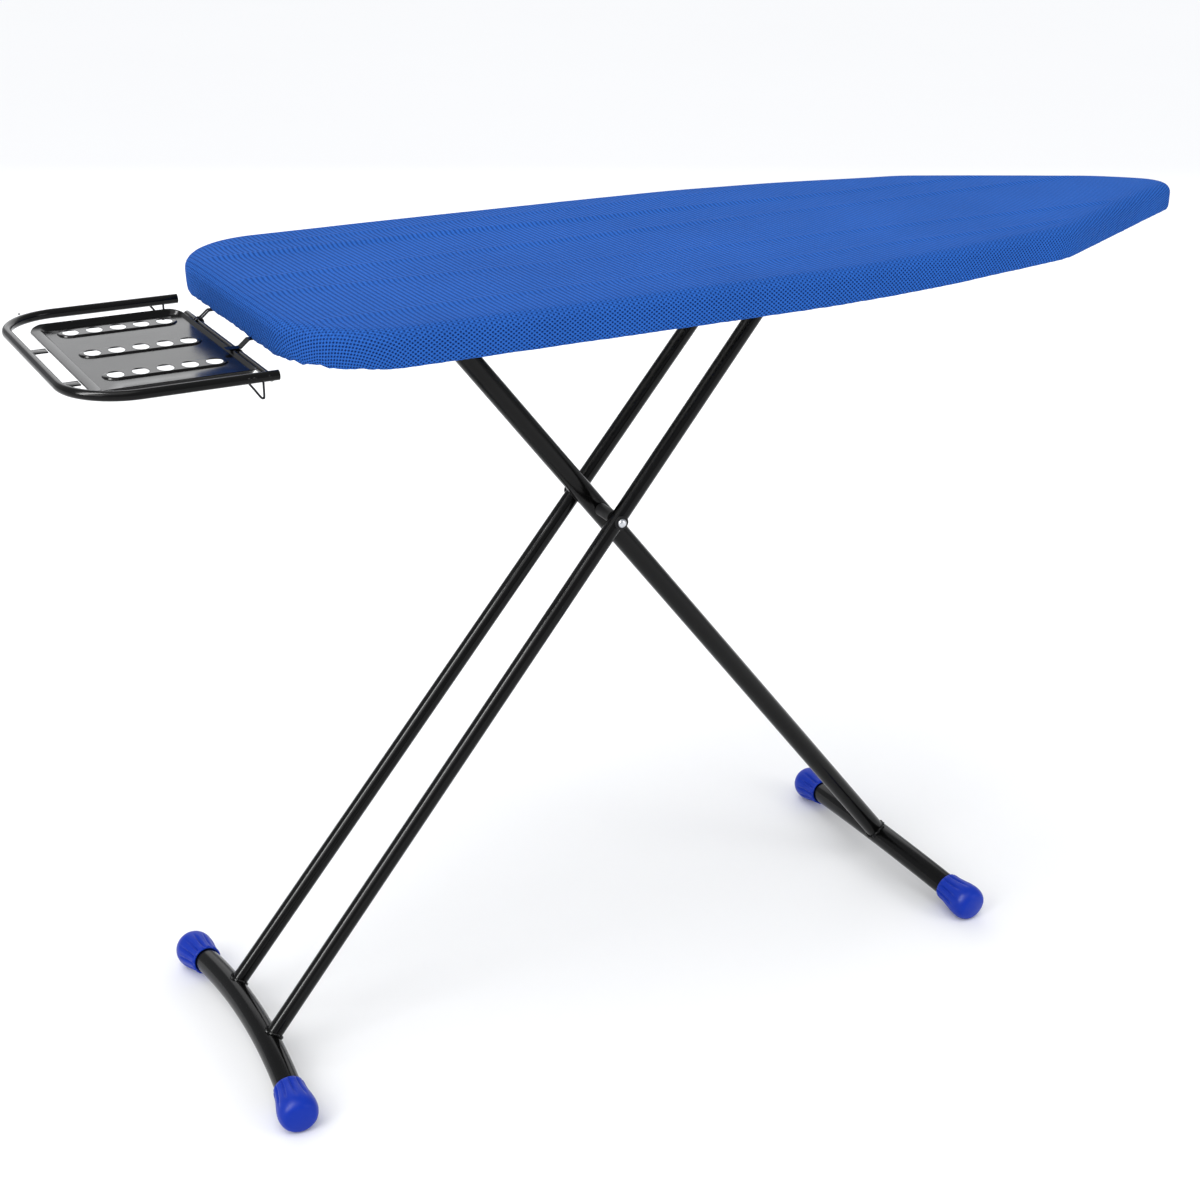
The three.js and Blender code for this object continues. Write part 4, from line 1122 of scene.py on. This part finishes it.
def rounded_loop(front, rear, near, far, corner, z_front, z_side, z_rear, steps=10):
    """A rounded rectangle whose height passes smoothly from one side's to the next at its corners."""
    spots = []
    corners = ((front + corner, near + corner, math.pi, z_front, z_side),
               (rear - corner, near + corner, 1.5 * math.pi, z_side, z_rear),
               (rear - corner, far - corner, 0.0, z_rear, z_side),
               (front + corner, far - corner, 0.5 * math.pi, z_side, z_front))
    for x, y, angle, z0, z1 in corners:
        for i in range(steps + 1):
            share = i / steps
            turn = angle + share * math.pi / 2
            ease = share * share * (3 - 2 * share)
            spots.append(Vector((x + corner * math.cos(turn), y + corner * math.sin(turn),
                                 z0 + (z1 - z0) * ease)))
    full = []
    for a, b in zip(spots, spots[1:] + spots[:1]):
        full.append(a)
        if (b - a).length > corner:
            full += [a.lerp(b, i / steps) for i in range(1, steps)]
    return full


def stadium(x0, x1, y, radius, z, steps=12):
    """The outline of a rib: two straight sides and two round ends."""
    turns = [math.pi * (i / steps - 0.5) for i in range(steps + 1)]
    return [Vector((x + way * radius * math.cos(turn), y + way * radius * math.sin(turn), z))
            for x, way in ((x1, 1), (x0, -1)) for turn in turns]


def make_tray():
    """The pressed tray: floor, front step, side rims, rear lip, three raised ribs of five holes each."""
    rest = settings().rest
    low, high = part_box("rest_tray")
    sheet = 0.6 * MM
    floor = low.z + 1 * MM
    rim, lip, step = high.z, floor + 3.2 * MM, floor + 2.8 * MM
    bm = bmesh.new()

    # Rings of the pressing from the floor out to its edge: inset at the front and at the sides, corner
    # radius, and height at the front, the sides and the rear.
    def loop_at(front_in, side_in, corner, z_front, z_side, z_rear):
        """One ring of the pressing."""
        rear_in = min(side_in, 4.5 * MM)
        return rounded_loop(low.x + front_in, high.x - rear_in, low.y + side_in, high.y - side_in, corner,
                            z_front, z_side, z_rear)

    rings = [loop_at(13.5 * MM, 6 * MM, 10 * MM, floor, floor, floor),
             loop_at(12.8 * MM, 5.2 * MM, 10.6 * MM,
                     floor + 0.4 * MM, floor + 0.3 * MM, floor + 0.2 * MM),
             loop_at(10.8 * MM, 3.2 * MM, 12.4 * MM, step - 0.3 * MM, floor + 2.6 * MM, floor + 1.4 * MM),
             loop_at(9.8 * MM, 2.2 * MM, 13.4 * MM, step, floor + 4.8 * MM, floor + 2.6 * MM),
             loop_at(2.0 * MM, 1.2 * MM, 14.8 * MM, step, rim - 0.4 * MM, lip),
             loop_at(0.7 * MM, 0.6 * MM, 15.4 * MM, step - 0.3 * MM, rim, lip),
             loop_at(0.2 * MM, 0.2 * MM, 15.8 * MM, step - 1.4 * MM, rim - 0.6 * MM, lip - 0.6 * MM)]
    edges = closed_line(bm, rings[0])
    inner_edges, ring = list(edges), [edge.verts[0] for edge in edges]
    for points in rings[1:]:
        edges, ring = next_ring(bm, edges, ring, points)
    middle_x = low.x + 86 * MM    # of the rows of holes
    x0, x1 = middle_x - 2 * rest.hole_pitch, middle_x + 2 * rest.hole_pitch
    for row in (-1, 0, 1):
        y = row * rest.row_pitch
        side = closed_line(bm, stadium(x0, x1, y, rest.rib, floor))
        inner_edges += side
        for inset, rise in ((0.5 * MM, 0.35), (1.1 * MM, 0.8), (1.9 * MM, 1.0)):
            side, verts = extrude_loop(bm, side)
            shape = stadium(x0, x1, y, rest.rib - inset, floor + rise * rest.rib_rise)
            for vert in verts:
                vert.co = min(shape, key=lambda point: (point.xy - vert.co.xy).length)
        top = list(side)
        for i in range(-2, 3):
            place = Matrix.Translation((middle_x + i * rest.hole_pitch, y, floor + rest.rib_rise))
            oval = place @ Matrix.Diagonal((rest.hole, rest.hole_across, 1, 1))
            brim = bmesh.ops.create_circle(bm, segments=32, radius=1, matrix=oval)["verts"]
            hole = edges_at(brim)
            top += hole
            rolled, verts = extrude_loop(bm, hole)
            bmesh.ops.translate(bm, vec=(0, 0, -0.15 * MM), verts=verts)
            bmesh.ops.scale(bm, vec=(0.975, 0.975, 1), space=place.inverted(), verts=verts)
            _, verts = extrude_loop(bm, rolled)
            bmesh.ops.translate(bm, vec=(0, 0, -0.3 * MM), verts=verts)
        bmesh.ops.triangle_fill(bm, use_beauty=True, edges=top, normal=Z_AXIS)
    bmesh.ops.triangle_fill(bm, use_beauty=True, edges=inner_edges, normal=Z_AXIS)
    bmesh.ops.recalc_face_normals(bm, faces=bm.faces)
    if sum(face.normal.z * face.calc_area() for face in bm.faces) < 0:
        bmesh.ops.reverse_faces(bm, faces=bm.faces)
    tray = mesh_piece("pressed_tray", [bm], "black_paint", "iron_rest", ["rest_tray"],
                      maker=tray_enamel, crease=24)
    wall = tray.modifiers.new("sheet", "SOLIDIFY")
    wall.thickness, wall.offset = sheet, -1.0


def wrap_line(radius, y, turn_from, arm):
    """A line that wraps the hinge bar at a radius and runs on along an arm."""
    curl = [REST_HINGE + Vector((radius * math.cos(a), y, radius * math.sin(a)))
            for a in (math.radians(turn_from + (90 - turn_from) * i / 16) for i in range(17))]
    return curl + [Vector((x, y, z)) for x, z in arm]


def make_rest_fittings():
    """Hinge bar, front tabs, V wires, and the two knuckles that the bar turns in."""
    low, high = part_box("rest_hinge_bar")
    line = [Vector((REST_HINGE.x, y, REST_HINGE.z)) for y in (low.y, 0.0, high.y)]
    mesh_piece("tray_hinge_bar", [sweep(line, (high.z - low.z) / 2, 24)], "black_paint", "iron_rest",
               ["rest_hinge_bar"])
    for side in ("near", "far"):
        low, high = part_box(f"rest_tab_{side}")
        mesh_piece(f"front_tab_{side}", [block(low, high, 0.5 * MM)], "black_paint", "iron_rest",
                   [f"rest_tab_{side}"])
        low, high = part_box(f"rest_wire_{side}")
        y, wire = (low.y + high.y) / 2, 1.1 * MM
        points = [(low.x + wire, high.z + 2 * MM), (low.x + 7 * MM, high.z - 6 * MM),
                  (high.x - 4.5 * MM, low.z + 2.4 * MM), (high.x - 2.2 * MM, low.z + wire),
                  (high.x - wire, low.z + 3 * MM), (high.x - wire, high.z + 2 * MM)]
        line = through([Vector((x, y, z)) for x, z in points])
        mesh_piece(f"v_wire_{side}", [sweep(line, wire, 12)], "spring_steel", "iron_rest",
                   [f"rest_wire_{side}"])
    low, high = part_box("rest_knuckle_near")
    bar_radius = 4.2 * MM
    under = COVER_LOW.z - 1.4 * MM
    arm = [(REST_HINGE.x + 2.5 * MM, REST_HINGE.z + bar_radius), (COVER_LOW.x + 2 * MM, under),
           (high.x - 0.6 * MM, under), (high.x - 0.6 * MM, high.z)]
    strip = ribbon(wrap_line(bar_radius, low.y, -230, arm), Y_AXIS * (high.y - low.y), 1.1 * MM)
    mesh_piece("bent_knuckle", [strip], "black_paint", "board", ["rest_knuckle_near"])
    low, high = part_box("rest_knuckle_far")
    wires = [sweep(wrap_line(bar_radius + 0.6 * MM, y, -250, arm), 1.1 * MM, 12)
             for y in (low.y + 1.1 * MM, high.y - 1.1 * MM)]
    mesh_piece("wire_knuckle", wires, "spring_steel", "board", ["rest_knuckle_far"])


# ---------------------------------------------------------------- stage

CAMERA_AT = Vector((-1.1326, -1.9022, 1.4068))
HEADING, TILT, ROLL = math.radians(28.641), math.radians(23.351), math.radians(0.403)
SENSOR, LENS = 36, 59.529    # both in mm


def make_camera():
    """A camera above the near side of the square end, looking along the board and down."""
    level_ahead = Vector((math.sin(HEADING), math.cos(HEADING), 0))
    ahead = level_ahead * math.cos(TILT) - Z_AXIS * math.sin(TILT)
    level = Vector((math.cos(HEADING), -math.sin(HEADING), 0))
    upright = level.cross(ahead)
    right = level * math.cos(ROLL) + upright * math.sin(ROLL)
    up = upright * math.cos(ROLL) - level * math.sin(ROLL)
    data = bpy.data.cameras.new("camera")
    data.sensor_width, data.lens = SENSOR, LENS
    camera = bpy.data.objects.new("camera", data)
    turn = Matrix((right, up, -ahead)).transposed().to_4x4()
    camera.matrix_world = Matrix.Translation(CAMERA_AT) @ turn
    bpy.context.scene.collection.objects.link(camera)
    bpy.context.scene.camera = camera


def softbox(name, at, target, wide, tall, power, glints_only=False):
    """A rectangular soft light that isn't seen itself, and may show in glossy paint alone."""
    data = bpy.data.lights.new(name, "AREA")
    data.shape, data.size, data.size_y, data.energy = "RECTANGLE", wide, tall, power
    light = bpy.data.objects.new(name, data)
    light.matrix_world = facing(Vector(at), Vector(at) - Vector(target))
    light.visible_camera = False
    if glints_only:
        light.visible_diffuse, data.use_shadow = False, False
    bpy.context.scene.collection.objects.link(light)


FLOOR_HALF = 40    # metres from the middle to an edge


def make_stage():
    """A pale floor, soft studio light and the camera."""
    scene = bpy.context.scene
    scene.view_settings.view_transform = "Standard"
    material, tree, shader = new_material("painted_floor", {"Specular IOR Level": 0.0})    # matt emulsion
    mottle(tree, shader, settings().finish.floor, 2.0, 0.01, 0.9, 0.05)
    mesh = bpy.data.meshes.new("studio_floor")
    bm = bmesh.new()
    bmesh.ops.create_grid(bm, x_segments=1, y_segments=1, size=FLOOR_HALF)
    bm.to_mesh(mesh)
    bm.free()
    mesh.materials.append(material)
    floor = bpy.data.objects.new("studio_floor", mesh)
    scene.collection.objects.link(floor)

    world = bpy.data.worlds.new("studio")
    world.use_nodes = True
    scene.world = world
    room = world.node_tree.nodes["Background"]
    room.inputs["Color"].default_value, room.inputs["Strength"].default_value = linear("f4f6fa"), 0.6

    sun = bpy.data.lights.new("overhead", "SUN")
    sun.energy, sun.angle = 1.5, math.radians(60)
    overhead = bpy.data.objects.new("overhead", sun)
    overhead.matrix_world = facing(Vector((0, 0, 5)), Vector((-0.35, -0.15, 1)))
    scene.collection.objects.link(overhead)
    softbox("back_light", (1.4, 3.9, 2.5), (-0.6, 0, 0.85), 5.0, 2.6, 52)
    softbox("left_light", (-4.0, -1.6, 2.6), (-0.2, 0, 0.5), 2.0, 2.0, 45)
    softbox("front_light", (2.4, -3.4, 1.9), (0, 0, 0.6), 1.6, 2.4, 40)
    softbox("leg_glint", (-3.5, -0.3, 3.2), (-0.25, 0, 0.45), 0.9, 4.2, 330, glints_only=True)
    make_camera()


# ---------------------------------------------------------------- operators, panel and running

class IRONING_OT_stage(bpy.types.Operator):
    """Floor, light and camera"""
    bl_idname = "ironing.stage"
    bl_label = "Stage"

    def execute(self, context):
        make_stage()
        return {"FINISHED"}


class IRONING_OT_cover(bpy.types.Operator):
    """Stretched cover and its bound hem"""
    bl_idname = "ironing.cover"
    bl_label = "Cover"

    def execute(self, context):
        make_cover()
        make_hem()
        return {"FINISHED"}


class IRONING_OT_pad(bpy.types.Operator):
    """Foam pad under the cover"""
    bl_idname = "ironing.pad"
    bl_label = "Pad"

    def execute(self, context):
        make_pad()
        return {"FINISHED"}


class IRONING_OT_deck(bpy.types.Operator):
    """Expanded steel mesh deck"""
    bl_idname = "ironing.deck"
    bl_label = "Deck"

    def execute(self, context):
        make_deck()
        return {"FINISHED"}


class IRONING_OT_ironwork(bpy.types.Operator):
    """Braces and slide rails under the deck"""
    bl_idname = "ironing.ironwork"
    bl_label = "Ironwork"

    def execute(self, context):
        make_ironwork()
        return {"FINISHED"}


class IRONING_OT_crossing(bpy.types.Operator):
    """Rivet, washers and spacers at the crossing, and the hinge pin"""
    bl_idname = "ironing.crossing"
    bl_label = "Crossing"

    def execute(self, context):
        make_crossing()
        return {"FINISHED"}


class IRONING_OT_legs(bpy.types.Operator):
    """Leg tubes, foot tubes, welds and caps"""
    bl_idname = "ironing.legs"
    bl_label = "Legs"

    def execute(self, context):
        make_legs()
        return {"FINISHED"}


class IRONING_OT_carriage(bpy.types.Operator):
    """Sliding shoes and the latch lever"""
    bl_idname = "ironing.carriage"
    bl_label = "Carriage"

    def execute(self, context):
        make_carriage()
        return {"FINISHED"}


class IRONING_OT_rest_frame(bpy.types.Operator):
    """Bent tube of the iron rest"""
    bl_idname = "ironing.rest_frame"
    bl_label = "Rest frame"

    def execute(self, context):
        make_rest_frame()
        return {"FINISHED"}


class IRONING_OT_tray(bpy.types.Operator):
    """Pressed tray of the iron rest"""
    bl_idname = "ironing.tray"
    bl_label = "Tray"

    def execute(self, context):
        make_tray()
        return {"FINISHED"}


class IRONING_OT_rest_fittings(bpy.types.Operator):
    """Hinge bar, tabs, wires and knuckles"""
    bl_idname = "ironing.rest_fittings"
    bl_label = "Rest fittings"

    def execute(self, context):
        make_rest_fittings()
        return {"FINISHED"}


OPERATORS = (
    IRONING_OT_stage, IRONING_OT_cover, IRONING_OT_pad, IRONING_OT_deck, IRONING_OT_ironwork,
    IRONING_OT_crossing, IRONING_OT_legs, IRONING_OT_carriage, IRONING_OT_rest_frame,
    IRONING_OT_tray, IRONING_OT_rest_fittings,
)


class IRONING_PT_panel(bpy.types.Panel):
    """Sizes, colours and a button for each piece."""
    bl_idname = "IRONING_PT_panel"
    bl_label = "Ironing board"
    bl_space_type = "VIEW_3D"
    bl_region_type = "UI"
    bl_category = "Ironing board"

    def draw(self, context):
        board = context.scene.ironing_board
        for group in (board.cover, board.deck, board.legs, board.rest, board.finish):
            box = self.layout.box()
            for name in group.__annotations__:
                box.prop(group, name)
        for item in OPERATORS:
            self.layout.operator(item.bl_idname)


CLASSES = (CoverSettings, DeckSettings, LegSettings, RestSettings, FinishSettings, BoardSettings,
           *OPERATORS, IRONING_PT_panel)


def register():
    """Registers the classes and hangs the settings on the scene."""
    for item in CLASSES:
        bpy.utils.register_class(item)
    bpy.types.Scene.ironing_board = bpy.props.PointerProperty(type=BoardSettings)


def unregister():
    """Takes them away again."""
    del bpy.types.Scene.ironing_board
    for item in reversed(CLASSES):
        bpy.utils.unregister_class(item)


def main():
    """Builds the stage and every piece."""
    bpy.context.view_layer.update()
    register()
    bpy.ops.ironing.stage()
    bpy.ops.ironing.cover()
    bpy.ops.ironing.pad()
    bpy.ops.ironing.deck()
    bpy.ops.ironing.ironwork()
    bpy.ops.ironing.crossing()
    bpy.ops.ironing.legs()
    bpy.ops.ironing.carriage()
    bpy.ops.ironing.rest_frame()
    bpy.ops.ironing.tray()
    bpy.ops.ironing.rest_fittings()


if __name__ == "__main__":
    main()
